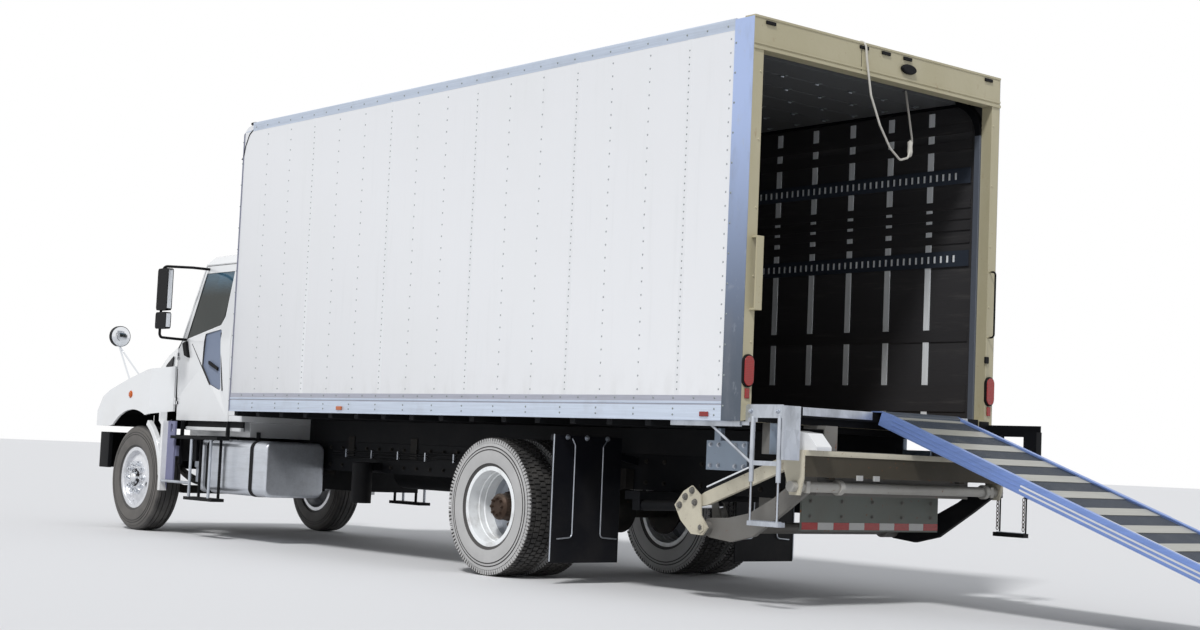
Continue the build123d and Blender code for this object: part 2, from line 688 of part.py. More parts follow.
with BuildPart() as hood_outer:
    side_plate(nose_side, (-half_cab + 20, half_cab - 20))
    with BuildSketch(Plane.XY.offset(hood_low)):
        with BuildLine():
            Polyline((hood_rear, -half_cab + 20), (hood_rear, half_cab - 20), (nose_front - 120, 720),
                     (nose_front, 560), (nose_front, -560), (nose_front - 120, -720), close=True)
        make_face()
    extrude(amount=1200, mode=Mode.INTERSECT)

taper_length = 220
taper_depth = 150


def fender_form(outline, y_inner, inset):
    """Both fenders' form drawn in by an inset, with the rear corners tapered in plan."""
    y_outer = half_fender - inset
    run_out = 200
    with BuildPart() as form:
        side_plate(outline, (y_inner, y_outer))
        with BuildSketch(Plane.XY) as seen_from_above:
            with BuildLine():
                Polyline((hood_rear - run_out, y_inner),
                         (hood_rear - run_out, y_outer - taper_depth * (1 + run_out / taper_length)),
                         (hood_rear + taper_length, y_outer), (nose_front + run_out, y_outer),
                         (nose_front + run_out, y_inner), close=True)
            make_face()
        extrude(seen_from_above.sketch, amount=cab_high, mode=Mode.INTERSECT)
        mirror(about=Plane.XZ)
    return form.part


with BuildPart() as hood:
    add(hood_outer.part)
    add(fender_form(fender_side, 620, 0))
    add(fender_form(inner_outline(fender_side, hood_wall), 300, hood_wall), mode=Mode.SUBTRACT)
    side_plate(inner_outline(nose_side, hood_wall), (-540, 540), Mode.SUBTRACT)
    cross_tube(front_axle_x, axle_z, arch_radius, (-half_fender - 20, half_fender + 20), Mode.SUBTRACT)
    # Hinge ears behind the nose
    for side in (-1, 1):
        y_ear = sorted((side * (hood_ear_y[0] - 27), side * (hood_ear_y[0] - 7)))
        side_plate([(hood_hinge_x - 25, hood_hinge_z - 25), (hood_hinge_x + 20, hood_hinge_z - 25),
                    (hood_hinge_x + 20, hood_low + 10), (nose_front - hood_wall, hood_low + 100),
                    (hood_hinge_x - 45, hood_low + 100)], y_ear)
        cross_tube(hood_hinge_x, hood_hinge_z, hood_pin_radius + running_gap, (y_ear[0] - 5, y_ear[1] + 5),
                   Mode.SUBTRACT)
finish("hood", hood.part)

# Grille, lamps and fender mirrors ride on the hood
with BuildPart() as grille:
    block((nose_front, nose_front + 25), (-480, 480), (1060, 1340))
    block((nose_front - 5, nose_front + 40), (-450, 450), (1085, 1315), Mode.SUBTRACT)
    for z_bar in range(1100, 1310, 38):
        block((nose_front + 4, nose_front + 20), (-455, 455), (z_bar, z_bar + 14))
finish("grille", grille.part)

with BuildPart() as headlamps:
    for side in (-1, 1):
        block((nose_front - 20, nose_front + 15), sorted((side * 780, side * 1180)), (1060, 1160))
finish("headlamps", headlamps.part)

spot_x = front_axle_x + 703
spot_z = 1963
spot_y = 1100
foot_radius = 14
# columns: station of the foot, fender height there
spot_feet = ((hood_rear + 940, 1510 - 110 * 240 / 400), (hood_rear + 710, 1510 - 110 * 10 / 400))
fender_fall = 110 / 400
with BuildPart() as fender_mirrors:
    for side in (-1, 1):
        with Locations(Location((spot_x, side * spot_y, spot_z), (0, 90, 0))):
            Cylinder(108, 50)
        for x_foot, z_fender in spot_feet:
            z_foot = z_fender + fender_fall * foot_radius + running_gap
            with Locations((x_foot, side * spot_y, z_foot + 10)):
                Cylinder(foot_radius, 20)
            bar([(spot_x, side * spot_y, spot_z - 100), (x_foot, side * spot_y, z_foot + 10)], 9, 0)
finish("fender_mirrors", fender_mirrors.part)

# Fixed skirt behind each front wheel: a band round the arch and a recessed panel with a slot in it.
# It is bolted to the steps' front hanger and clear of the door's swing.
skirt_length = 190
skirt_inset = 55
skirt_wall = 20
skirt_foot = 420
skirt_panel_foot = 500
skirt_top = cab_floor_z - 12
skirt_slot = (40, 90)
with BuildPart() as fender_skirts:
    for side in (-1, 1):
        y_band = sorted((side * (half_fender - skirt_inset - skirt_wall), side * half_fender))
        y_panel = sorted((side * (half_fender - skirt_inset - skirt_wall), side * (half_fender - skirt_inset)))
        side_plate([(skirt_front - skirt_band, skirt_foot), (skirt_front, skirt_foot),
                    (skirt_front, skirt_top - 38), (hood_rear - 8, skirt_top), (hood_rear - 8, hood_skirt - 10),
                    (cab_front, hood_skirt - 10), (cab_front, skirt_top), (skirt_front - skirt_band, skirt_top)],
                   y_band)
        block((skirt_front - skirt_length, skirt_front - skirt_band), y_panel, (skirt_panel_foot, skirt_top))
        with BuildSketch(Plane.XZ.offset(-y_panel[1])) as slot_shape:
            with Locations((skirt_front - skirt_length / 2 - 20, skirt_top - 70)):
                SlotOverall(skirt_slot[1], skirt_slot[0], rotation=90)
        extrude(slot_shape.sketch, amount=skirt_wall, mode=Mode.SUBTRACT)
        block((step_high, skirt_front - skirt_length + 60),
              sorted((side * (half_fender - 120), side * (half_fender - skirt_inset - skirt_wall))), (760, 860))
        block((step_high - hanger_wall, step_high), sorted((side * hanger_y[1], side * (hanger_y[1] + 1))),
              (760, 860), Mode.SUBTRACT)
finish("fender_skirts", fender_skirts.part)

# Dry freight body: floor on its sills, walls, roof
with BuildPart() as box_floor:
    block((box_rear + frame_depth, box_front - front_wall), (-wall_inner_y, wall_inner_y),
          (floor_top - floor_thickness, floor_top))
finish("box_floor", box_floor.part)

long_sill_width = 80
sill_width = 60
sill_start = frame_depth + 20
sill_reach = box_length - front_wall - sill_start - sill_width
sill_offsets = [sill_start + number * sill_pitch for number in range(int(sill_reach // sill_pitch) + 1)]
sill_offsets.append(sill_start + sill_reach)
with BuildPart() as long_sills:
    for side in (-1, 1):
        block((chassis_rear, box_front - 60), sorted((side * rail_y, side * (rail_y - long_sill_width))),
              (chassis_top, sill_z))
finish("long_sills", long_sills.part)

with BuildPart() as cross_sills:
    for offset in sill_offsets:
        block((box_rear + offset, box_rear + offset + sill_width), (-wall_inner_y, wall_inner_y),
              (sill_z, sill_z + sill_height))
finish("cross_sills", cross_sills.part)

# Each side is one wall with its rails, lining slats and load-tie tracks
# columns: how far out from the wall, height
bottom_rail_profile = ((5, bottom_rail[0]), (5, 1214), (3, 1216), (3, 1305), (0.5, 1306), (0.5, 1314), (5, 1316),
                       (5, 1330), (2.5, 1332), (2.5, bottom_rail[1]))
top_rail_profile = ((1.5, top_rail[0]), (1.5, box_top - 70), (3.5, box_top - 66), (3.5, box_top - 20),
                    (5, box_top - 16), (5, box_top - 4), (1, box_top))
# columns: z of the middle, height, how far it stands out from the wall
tie_tracks = ((3155, 120, 12), (2530, 120, 12))
slats = ((3520, 70, 8), (3390, 70, 8), (2940, 60, 8), (2857, 60, 8), (2774, 60, 8), (2676, 60, 8), (1950, 90, 8),
         (1480, 200, 8))
slat_rear = box_rear + frame_depth + track_depth + 60
slat_front = box_front - front_wall - 20


def cut_front_corner():
    """Takes away what stands outside the body's rounded front top corner."""
    centre = Vector(box_front - cap_radius, cap_top - cap_radius)
    middle = centre + Vector(cap_radius * sin(pi / 4), cap_radius * cos(pi / 4))
    with BuildSketch(Plane.XZ.offset(-half_box - 10)) as outside_corner:
        with BuildLine():
            Polyline((box_front, cap_top - cap_radius), (box_front + 50, cap_top - cap_radius),
                     (box_front + 50, box_top + 50), (cap_rear, box_top + 50), (cap_rear, cap_top),
                     (box_front - cap_radius, cap_top))
            ThreePointArc((box_front - cap_radius, cap_top), (middle.X, middle.Y),
                          (box_front, cap_top - cap_radius))
        make_face()
    extrude(outside_corner.sketch, amount=box_width + 20, mode=Mode.SUBTRACT)


for side, name in ((1, "left"), (-1, "right")):
    with BuildPart() as box_side:
        block((box_rear + frame_depth, box_front - front_wall), sorted((side * wall_inner_y, side * wall_outer_y)),
              (floor_top - floor_thickness, top_rail[0] + 40))
        for profile in (bottom_rail_profile, top_rail_profile):
            cross_plate([(side * wall_inner_y, profile[0][1])]
                        + [(side * (wall_outer_y + out), z) for out, z in profile]
                        + [(side * wall_inner_y, profile[-1][1])],
                        (box_rear + wrap_width, box_front - front_wall))
        for z, height, proud in tie_tracks + slats:
            block((slat_rear, slat_front), sorted((side * wall_inner_y, side * (wall_inner_y - proud))),
                  (z - height / 2, z + height / 2))
        cut_front_corner()
    finish("box_side_" + name, box_side.part)

bow_pitch = 610
bow_width = 40
bow_depth = 25
with BuildPart() as box_roof:
    block((box_rear + frame_depth, cap_rear), (-wall_inner_y, wall_inner_y), (box_top - roof_wall, box_top))
    block((cap_rear - roof_wall, cap_rear), (-wall_inner_y, wall_inner_y), (cap_top - cap_wall, box_top))
    for number in range(1, int(box_length // bow_pitch)):
        x_bow = box_rear + number * bow_pitch
        block((x_bow, x_bow + bow_width), (-wall_inner_y, wall_inner_y),
              (box_top - roof_wall - bow_depth, box_top - roof_wall))
finish("box_roof", box_roof.part)

with BuildPart() as box_front_wall:
    block((box_front - front_wall, box_front), (-wall_inner_y, wall_inner_y), (bottom_rail[0], cap_top))
    block((cap_rear, box_front), (-wall_inner_y, wall_inner_y), (cap_top - cap_radius, cap_top))
    block((cap_rear - 1, box_front - front_wall), (-wall_inner_y - 1, wall_inner_y + 1),
          (cap_top - cap_radius - 1, cap_top - cap_wall), Mode.SUBTRACT)
    cut_front_corner()
finish("box_front_wall", box_front_wall.part)

with BuildPart() as corner_trims:
    for side in (-1, 1):
        with BuildSketch(Plane.XY.offset(bottom_rail[0])):
            with BuildLine():
                y_in, y_out = side * wall_inner_y, side * half_box
                x_in = box_front - front_wall
                x_round = box_front - corner_radius
                Line((x_in, y_in), (box_front, y_in))
                Line((box_front, y_in), (box_front, y_out - side * corner_radius))
                RadiusArc((box_front, y_out - side * corner_radius), (x_round, y_out), -side * corner_radius)
                Line((x_round, y_out), (x_in, y_out))
                Line((x_in, y_out), (x_in, y_in))
            make_face()
        extrude(amount=box_top - bottom_rail[0])
        block((box_rear + 1, box_rear + frame_depth), sorted((side * half_box, side * (half_box + wrap_wall))),
              (bottom_rail[0], box_top - 10))
        block((box_rear + frame_depth, box_rear + wrap_width),
              sorted((side * wall_outer_y, side * (half_box + wrap_wall))), (bottom_rail[0], box_top - 10))
    cut_front_corner()
finish("corner_trims", corner_trims.part)

# Rear frame: posts, header with its lips, and sill, with a grab handle on each post
post_inner = half_box - post_width
handle_y = 1225
handle_z = (1927, 2411)
handle_reach = 55
handle_width = 60
handle_wall = 12
handle_bar_radius = 7
# columns: how far out, z low and z high over the header's lower edge
header_lips = ((9, 0, 20), (6, 34, 50), (5, header_height - 14, header_height))
with BuildPart() as rear_frame:
    block((box_rear, box_rear + frame_depth), (-half_box, half_box), (bottom_rail[0], box_top))
    block((box_rear - 5, box_rear + frame_depth + 5), (-post_inner, post_inner), (floor_top, header_bottom),
          Mode.SUBTRACT)
    for out, low, high in header_lips:
        block((box_rear - out, box_rear), (-half_box, half_box), (header_bottom + low, header_bottom + high))
    block((box_rear - sill_plate_reach, box_rear), (-1050, 1050), (1250, sill_plate_top))
    block((box_rear - 1, box_rear + frame_depth), (-post_inner, post_inner), (floor_top, sill_plate_top))
    # Flat handle at the left, round one at the right
    y_handle = (handle_y - handle_width / 2, handle_y + handle_width / 2)
    block((box_rear - handle_reach, box_rear - handle_reach + handle_wall), y_handle, handle_z)
    for z_foot in (handle_z[0], handle_z[1] - handle_wall):
        block((box_rear - handle_reach, box_rear), y_handle, (z_foot, z_foot + handle_wall))
    bar([(box_rear + 5, -handle_y, handle_z[0]), (box_rear - handle_reach, -handle_y, handle_z[0]),
         (box_rear - handle_reach, -handle_y, handle_z[1]), (box_rear + 5, -handle_y, handle_z[1])],
        handle_bar_radius, 25)
finish("rear_frame", rear_frame.part)

# Door tracks: up each side, round a bend and forward under the roof
track_back = box_rear + frame_depth
track_front = track_back + 2700
bend_centre = (track_back + track_bend, track_top - track_bend)
bend_inner = track_bend - track_depth
bend_half = sin(pi / 4)
with BuildPart() as door_tracks:
    for side in (-1, 1):
        y_range = sorted((side * (wall_inner_y - track_width), side * wall_inner_y))
        with BuildSketch(Plane.XZ.offset(-y_range[1])):
            with BuildLine():
                Polyline((bend_centre[0], track_top), (track_front, track_top),
                         (track_front, track_top - track_depth), (bend_centre[0], track_top - track_depth))
                ThreePointArc((bend_centre[0], track_top - track_depth),
                              (bend_centre[0] - bend_inner * bend_half, bend_centre[1] + bend_inner * bend_half),
                              (track_back + track_depth, bend_centre[1]))
                Polyline((track_back + track_depth, bend_centre[1]), (track_back + track_depth, floor_top),
                         (track_back, floor_top), (track_back, bend_centre[1]))
                ThreePointArc((track_back, bend_centre[1]),
                              (bend_centre[0] - track_bend * bend_half, bend_centre[1] + track_bend * bend_half),
                              (bend_centre[0], track_top))
            make_face()
        extrude(amount=track_width)
finish("door_tracks", door_tracks.part)

with BuildPart() as rollup_door:
    for number in range(door_panel_count):
        x_panel = box_rear + frame_depth + 240 + number * (door_panel_length + door_panel_gap)
        block((x_panel, x_panel + door_panel_length),
              (-wall_inner_y + track_width, wall_inner_y - track_width),
              (track_top - 38, track_top - 38 + door_panel_wall))
finish("rollup_door", rollup_door.part)

# Lamps on the body: tail lamps and reflectors on the posts, markers on the side rails and the header
lamp_y = 1250
tail_lamp = (1531, 196, 85, 22)
reflector = (1385, 66, 40, 10)
marker_offsets = (4790, 342)
marker = (1246, 32, 80, 14)
header_lamp = (box_top - 38, 24, 90, 12)
header_lamp_y = (-1150, -230, 0, 230, 1150)
with BuildPart() as lamps:
    for side in (-1, 1):
        z, height, width, out = tail_lamp
        with BuildSketch(Plane.YZ.offset(box_rear - out)):
            with Locations((side * lamp_y, z)):
                SlotOverall(height, width, rotation=90)
        extrude(amount=out)
        z, height, width, out = reflector
        block((box_rear - out, box_rear), (side * lamp_y - width / 2, side * lamp_y + width / 2),
              (z - height / 2, z + height / 2))
        z, height, width, out = marker
        for offset in marker_offsets:
            block((box_rear + offset - width / 2, box_rear + offset + width / 2),
                  sorted((side * (wall_outer_y + 3), side * (wall_outer_y + out))), (z - height / 2, z + height / 2))
    z, height, width, out = header_lamp
    for y_lamp in header_lamp_y:
        block((box_rear - out, box_rear), (y_lamp - width / 2, y_lamp + width / 2), (z - height / 2, z + height / 2))
finish("lamps", lamps.part)

# Mud flaps behind the rear wheels, each clamped to an arm from the chassis rail
flap_x = box_rear + 1932
flap_wall = 12
flap_y = (610, 1270)
flap_z = (155, 1080)
flap_arm_wall = 25
with BuildPart() as mud_flaps:
    for side in (-1, 1):
        block((flap_x, flap_x + flap_wall), sorted((side * flap_y[0], side * flap_y[1])), flap_z)
        cross_plate([(side * rail_y, 880), (side * rail_y, 940), (side * flap_y[1], flap_z[1]),
                     (side * flap_y[1], flap_z[1] - 40)], (flap_x + flap_wall, flap_x + flap_wall + flap_arm_wall))
finish("mud_flaps", mud_flaps.part)

# Hanging steps at the rear corners: a hung plate, two posts with a crossbar, rods and a tread
ladder_y = 1250
ladder_wall = 12
ladder_post_radius = 16
ladder_rod_radius = 6
ladder_rung_depth = 60
# columns: side, plate x and z, stop plate x, y and z, the posts' stations, z of the posts' feet, crossbar, tread
ladder_table = (
    (1, (-326, 36), (1229, 1315), (-346, -326), (1100, ladder_y), (966, 1310), (-305, -65), 820, 940, 555),
    (-1, (-473, 105), (1204, 1285), (-480, -367), (1190, ladder_y), (1030, 1240), (-366, -138), 760, 880, 500),
)
with BuildPart() as ladders:
    for side, x_plate, z_plate, x_stop, y_stop, z_stop, posts, post_foot, crossbar, tread in ladder_table:
        y_plate = sorted((side * (ladder_y - ladder_wall), side * ladder_y))
        y_post = side * (ladder_y - ladder_wall / 2)
        block((box_rear + x_plate[0], box_rear - 12), y_plate, z_plate)
        block((box_rear - 25, box_rear + x_plate[1]), y_plate, (bottom_rail[0] - 25, bottom_rail[0]))
        block((box_rear - 12, box_rear), sorted((side * 1150, side * ladder_y)), (bottom_rail[0], floor_top))
        block((box_rear - 25, box_rear - 12), y_plate, (bottom_rail[0] - 25, z_plate[1]))
        block((box_rear + x_stop[0], box_rear + x_stop[1]), sorted((side * y_stop[0], side * y_stop[1])), z_stop)
        for x_post in posts:
            bar([(box_rear + x_post, y_post, z_plate[0] + 10), (box_rear + x_post, y_post, post_foot)],
                ladder_post_radius, 0)
            bar([(box_rear + x_post, y_post, post_foot + 5), (box_rear + x_post, y_post, tread)],
                ladder_rod_radius, 0)
        block((box_rear + posts[0], box_rear + posts[1]), y_plate, (crossbar - 15, crossbar + 15))
        block((box_rear + posts[0] - 20, box_rear + posts[1] + 20),
              sorted((side * (ladder_y - ladder_rung_depth), side * ladder_y)), (tread - 15, tread + 15))
    # Bar under the left rail with the brace that runs back to the posts
    block((box_rear + 40, box_rear + 700), (ladder_y - 8, ladder_y + 12), (1170, bottom_rail[0]))
    bar([(box_rear + 326, ladder_y, 1185), (box_rear - 65, ladder_y, 940)], 10, 0)
finish("ladders", ladders.part)

# Tail lift: crossbeam under the sill, pivot tube with a knuckle plate at each end, cylinder mounts
lever_x, lever_z = box_rear + lever_pivot[0], lever_pivot[1]
tube_x, tube_z = box_rear + lift_tube[0], lift_tube[1]
link_x, link_z = lever_x + link_offset[0], lever_z + link_offset[1]
link_end_x, link_end_z = tube_x + link_offset[0], tube_z + link_offset[1]
eye_x, eye_z = box_rear + cylinder_eye[0], cylinder_eye[1]
base_x, base_z = box_rear + cylinder_base[0], cylinder_base[1]
pivot_radius = 40
tube_radius = 35
pin_radius = 12
pin_play = 8
clevis_gap = 44
clevis_wall = 15
clevis_y = (cylinder_y - clevis_gap / 2 - clevis_wall, cylinder_y + clevis_gap / 2)
beam_x = (box_rear - 180, box_rear - 120)
beam_z = (890, 1040)
base_beam_z = 640
guide_plate_x = (box_rear + 260, box_rear + 650)
guide_plate_z = (880, 1080)
knuckle_outline = [(lever_x - 60, lever_z), (lever_x - 11, lever_z - 53), (lever_x + 100, lever_z - 50),
                   (lever_x + 209, lever_z + 38), (lever_x + 274, lever_z + 140), (lever_x + 190, lever_z + 235),
                   (lever_x + 108, lever_z + 278), (lever_x + 20, lever_z + 215), (lever_x + 10, lever_z + 80)]
with BuildPart() as liftgate_frame:
    block(beam_x, (-closing_half_width, closing_half_width), beam_z)
    cross_tube(lever_x, lever_z, pivot_radius, (-end_plate_y[1], end_plate_y[1]))
    block((base_x - 40, base_x + 120), (-cylinder_y - 40, cylinder_y + 40), (base_beam_z, chassis_bottom))
    for side in (-1, 1):
        block((beam_x[1], box_rear + 260), sorted((side * (rail_y - rail_wall - 16), side * (rail_y - rail_wall))),
              (900, chassis_top - 2 * rail_wall - 1))
        block((beam_x[1], beam_x[1] + 16), sorted((side * 500, side * 620)), (1000, bottom_rail[0]))
        block((beam_x[1], box_rear + 80), sorted((side * 500, side * 620)), (1180, bottom_rail[0]))
        block((lever_x - 60, lever_x + 60), sorted((side * (rail_y - rail_flange), side * rail_y)),
              (lever_z, chassis_bottom))
        side_plate(knuckle_outline, sorted((side * end_plate_y[0], side * end_plate_y[1])))
        cross_tube(link_x, link_z, pin_radius, sorted((side * (link_y[0] - 8), side * end_plate_y[1])))
        # Twin guide plates hung on a cross sill, and a block under the rear frame
        for y_plate in (lever_y[0] - 5, lever_y[1] - 12):
            block(guide_plate_x, sorted((side * y_plate, side * (y_plate + 12))), guide_plate_z)
        block((box_rear + sill_offsets[1], box_rear + sill_offsets[1] + sill_width),
              sorted((side * (lever_y[0] - 5), side * lever_y[1])), (guide_plate_z[1] - 40, sill_z))
        block((box_rear + 20, box_rear + frame_depth), sorted((side * 900, side * 1000)), (1000, bottom_rail[0]))
        for y_ear in clevis_y:
            block((base_x - 40, base_x + 40), sorted((side * y_ear, side * (y_ear + clevis_wall))),
                  (base_z - 35, base_beam_z))
        cross_tube(base_x, base_z, pin_radius,
                   sorted((side * (cylinder_y - clevis_gap / 2), side * (cylinder_y + clevis_gap / 2))))
finish("liftgate_frame", liftgate_frame.part)

# Levers below, joined by the torsion tube, each with a lug for its cylinder
lever_outline = [(tube_x - 40, tube_z + 35), (tube_x - 40, tube_z - 40), (tube_x + 120, tube_z - 150),
                 (tube_x + 425, lever_z - 35), (tube_x + 637, lever_z - 85), (lever_x, lever_z - 65),
                 (lever_x, lever_z + 65), (tube_x + 660, lever_z + 75), (tube_x + 470, lever_z + 115),
                 (tube_x + 250, lever_z + 225), (tube_x + 70, tube_z + 35)]
hub_radius = pivot_radius + 20
with BuildPart() as liftgate_arms:
    cross_tube(tube_x, tube_z, tube_radius, (-1080, 1080))
    for side in (-1, 1):
        side_plate(lever_outline, sorted((side * lever_y[0], side * lever_y[1])))
        cross_tube(lever_x, lever_z, hub_radius, sorted((side * (clevis_y[0] - 3), side * lever_y[1])))
        for y_ear in clevis_y:
            side_plate([(lever_x - 50, lever_z + 10), (lever_x + 55, lever_z - 10), (eye_x + 28, eye_z + 10),
                        (eye_x + 8, eye_z + 28), (eye_x - 20, eye_z + 22)],
                       sorted((side * y_ear, side * (y_ear + clevis_wall))))
        cross_tube(eye_x, eye_z, pin_radius,
                   sorted((side * (cylinder_y - clevis_gap / 2), side * (cylinder_y + clevis_gap / 2))))
        cross_tube(lever_x, lever_z, pivot_radius + running_gap,
                   sorted((side * (cylinder_y - 60), side * (lever_y[1] + 20))), Mode.SUBTRACT)
finish("liftgate_arms", liftgate_arms.part)

# Links above the levers and parallel to them, from the knuckle plates to the platform's end plates
link_eye = 30
link_half = 45
link_run = Vector(link_end_x - link_x, 0, link_end_z - link_z).normalized()
link_up = Vector(-link_run.Z, 0, link_run.X) * -1
link_start, link_end = Vector(link_x, 0, link_z), Vector(link_end_x, 0, link_end_z)
link_corners = (link_start + link_up * link_eye, link_start + link_run * 90 + link_up * link_half,
                link_end - link_run * 100 + link_up * link_half, link_end + link_up * (link_eye - 4),
                link_end - link_up * (link_eye - 4), link_end - link_run * 100 - link_up * link_half,
                link_start + link_run * 90 - link_up * link_half, link_start - link_up * link_eye)
with BuildPart() as liftgate_links:
    for side in (-1, 1):
        y_link = sorted((side * link_y[0], side * link_y[1]))
        side_plate([(corner.X, corner.Z) for corner in link_corners], y_link)
        for x_eye, z_eye in ((link_x, link_z), (link_end_x, link_end_z)):
            cross_tube(x_eye, z_eye, link_eye, y_link)
        for x_eye, z_eye in ((link_x, link_z), (link_end_x, link_end_z)):
            cross_tube(x_eye, z_eye, pin_radius + running_gap, (y_link[0] - 5, y_link[1] + 5), Mode.SUBTRACT)
finish("liftgate_links", liftgate_links.part)

# Folded platform: hinge beam over the torsion tube, folded decks below it with a hanging flap, end plates
beam_face = (box_rear - 322, box_rear - 218)
beam_lip = (1000, 1035)
deck_x = (box_rear - 205, box_rear + 75)
deck_z = (745, 870)
flap_plate = (box_rear - 8, box_rear + 12, 500, 700)
end_outline = [(beam_face[0], beam_lip[1]), (link_end_x + 35, beam_lip[1] - 25), (link_end_x + 35, link_end_z - 35),
               (tube_x + 45, tube_z - 55), (tube_x - 45, tube_z - 55), (beam_face[0], tube_z + 50)]
box_outline = [(box_rear - 190, beam_lip[1]), (box_rear - 190, 1159), (box_rear - 317, 1145),
               (box_rear - 400, beam_lip[1] + 25), (box_rear - 400, beam_lip[1])]
with BuildPart() as liftgate_platform:
    block(beam_face, (-end_plate_y[0], end_plate_y[0]), (865, beam_lip[0]))
    block((beam_face[0] - 8, beam_face[1]), (-end_plate_y[0], end_plate_y[0]), beam_lip)
    block(deck_x, (-platform_half_width, platform_half_width), (deck_z[0], 800))
    block((deck_x[0], deck_x[1] - 15), (-platform_half_width, platform_half_width), (800, 806))
    block(deck_x, (-platform_half_width, platform_half_width), (806, deck_z[1]))
    block((flap_plate[0], flap_plate[1]), (-700, 700), (flap_plate[2], deck_z[0]))
    side_plate(box_outline, (860, 1000))
    for side in (-1, 1):
        block((beam_face[1] - 20, deck_x[0] + 25), sorted((side * 640, side * 700)), (850, 882))
        side_plate(end_outline, sorted((side * end_plate_y[0], side * end_plate_y[1])))
        cross_tube(link_end_x, link_end_z, pin_radius, sorted((side * (link_y[0] - 8), side * end_plate_y[1])))
        cross_tube(tube_x, tube_z, tube_radius + running_gap,
                   sorted((side * (end_plate_y[0] - 5), side * (end_plate_y[1] + 5))), Mode.SUBTRACT)
finish("liftgate_platform", liftgate_platform.part)

# Cylinders: barrels on the frame's pins, rods to the levers' lugs
barrel_length = 560
rod_radius = 18
eye_half = 18
line = Vector(eye_x - base_x, 0, eye_z - base_z).normalized()
with BuildPart() as liftgate_cylinders:
    for side in (-1, 1):
        y_eye = sorted((side * (cylinder_y - eye_half), side * (cylinder_y + eye_half)))
        start = Vector(base_x, side * cylinder_y, base_z)
        bar([start + line * 25, start + line * 60], rod_radius, 0)
        bar([start + line * 55, start + line * barrel_length], cylinder_radius, 0)
        cross_tube(base_x, base_z, 32, y_eye)
        cross_tube(base_x, base_z, pin_radius + running_gap, (y_eye[0] - 5, y_eye[1] + 5), Mode.SUBTRACT)
    for side in (-1, 1):
        start = Vector(base_x, side * cylinder_y, base_z)
        with BuildSketch(Plane(start + line * (barrel_length + 10), z_dir=-line)):
            Circle(rod_radius + running_gap)
        extrude(amount=barrel_length - 80, mode=Mode.SUBTRACT)
finish("liftgate_cylinders", liftgate_cylinders.part)

with BuildPart() as liftgate_rods:
    for side in (-1, 1):
        y_eye = sorted((side * (cylinder_y - eye_half), side * (cylinder_y + eye_half)))
        start = Vector(base_x, side * cylinder_y, base_z)
        end = Vector(eye_x, side * cylinder_y, eye_z)
        bar([start + line * 200, end], rod_radius, 0)
        cross_tube(eye_x, eye_z, 30, y_eye)
        cross_tube(eye_x, eye_z, pin_radius + pin_play, (y_eye[0] - 5, y_eye[1] + 5), Mode.SUBTRACT)
finish("liftgate_rods", liftgate_rods.part)

# Walk ramp: two side rails, a deck and crossbars, hooked over the sill plate
hook_x = box_rear - 20
ramp_top_x = box_rear - sill_plate_reach - 50
ramp_top_z = sill_plate_top + ramp_hook_wall
ramp_angle = asin(ramp_top_z / ramp_length)
ramp_tip_x = ramp_top_x - ramp_length * cos(ramp_angle)
slope = tan(ramp_angle)
ramp_y = (ramp_centre_y - ramp_width / 2, ramp_centre_y + ramp_width / 2)


def ramp_profile(shallow, deep):
    """Band of the ramp between two depths under its top line, cut level at the floor."""
    def under(depth):
        top = (ramp_top_x + depth * sin(ramp_angle), ramp_top_z - depth * cos(ramp_angle))
        return top, (top[0] - top[1] / slope, 0)
    (top_a, foot_a), (top_b, foot_b) = under(shallow), under(deep)
    return [top_a, foot_a, foot_b, top_b]


crossbar_pitch = 270
crossbar_half = 18
crossbar_count = int((ramp_length - 500) // crossbar_pitch) + 1
with BuildPart() as ramp:
    for y_low in (ramp_y[0], ramp_y[1] - ramp_rail_wall):
        side_plate(ramp_profile(0, ramp_depth), (y_low, y_low + ramp_rail_wall))
    side_plate(ramp_profile(20, 20 + ramp_deck_wall), ramp_y)
    for number in range(crossbar_count):
        along = 120 + number * crossbar_pitch
        x_bar = ramp_top_x - along * cos(ramp_angle) + 50 * sin(ramp_angle)
        z_bar = ramp_top_z - along * sin(ramp_angle) - 50 * cos(ramp_angle)
        block((x_bar - crossbar_half, x_bar + crossbar_half), ramp_y, (z_bar - crossbar_half, z_bar + crossbar_half))
    side_plate([(hook_x, sill_plate_top), (hook_x, ramp_top_z), (ramp_top_x, ramp_top_z),
                (ramp_top_x - 60, ramp_top_z - 60 * slope), (ramp_top_x - 60, ramp_top_z - 60 * slope - 20),
                (ramp_top_x, sill_plate_top)], ramp_y)
finish("ramp", ramp.part)

# Steered knuckles: a yoke round each kingpin boss with the wheel's spindle
for side, name in ((1, "left"), (-1, "right")):
    with BuildPart() as knuckle:
        for z_ear in (boss_half_height + 5, -boss_half_height - 35):
            block((front_axle_x - 45, front_axle_x + 45), sorted((side * (kingpin_y - 40), side * (kingpin_y + 75))),
                  (axle_z + z_ear, axle_z + z_ear + 30))
        block((front_axle_x - 60, front_axle_x + 60), sorted((side * (kingpin_y + 50), side * (kingpin_y + 75))),
              (axle_z - boss_half_height - 35, axle_z + boss_half_height + 35))
        with Locations((front_axle_x, side * kingpin_y, axle_z)):
            Cylinder(kingpin_radius, 2 * boss_half_height + 60)
        turned(front_axle_x, [(side * (kingpin_y + 60), 0), (side * (kingpin_y + 60), spindle_radius),
                              (side * (front_tyre_y + 50), spindle_radius), (side * (front_tyre_y + 50), 0)])
    finish("knuckle_" + name, knuckle.part)

# Wheels: tyres as closed rings on their rims
half_tyre = tyre_width / 2
hand_hole_ring = 222
hand_hole_radius = 30
hand_hole_turn = 0.3
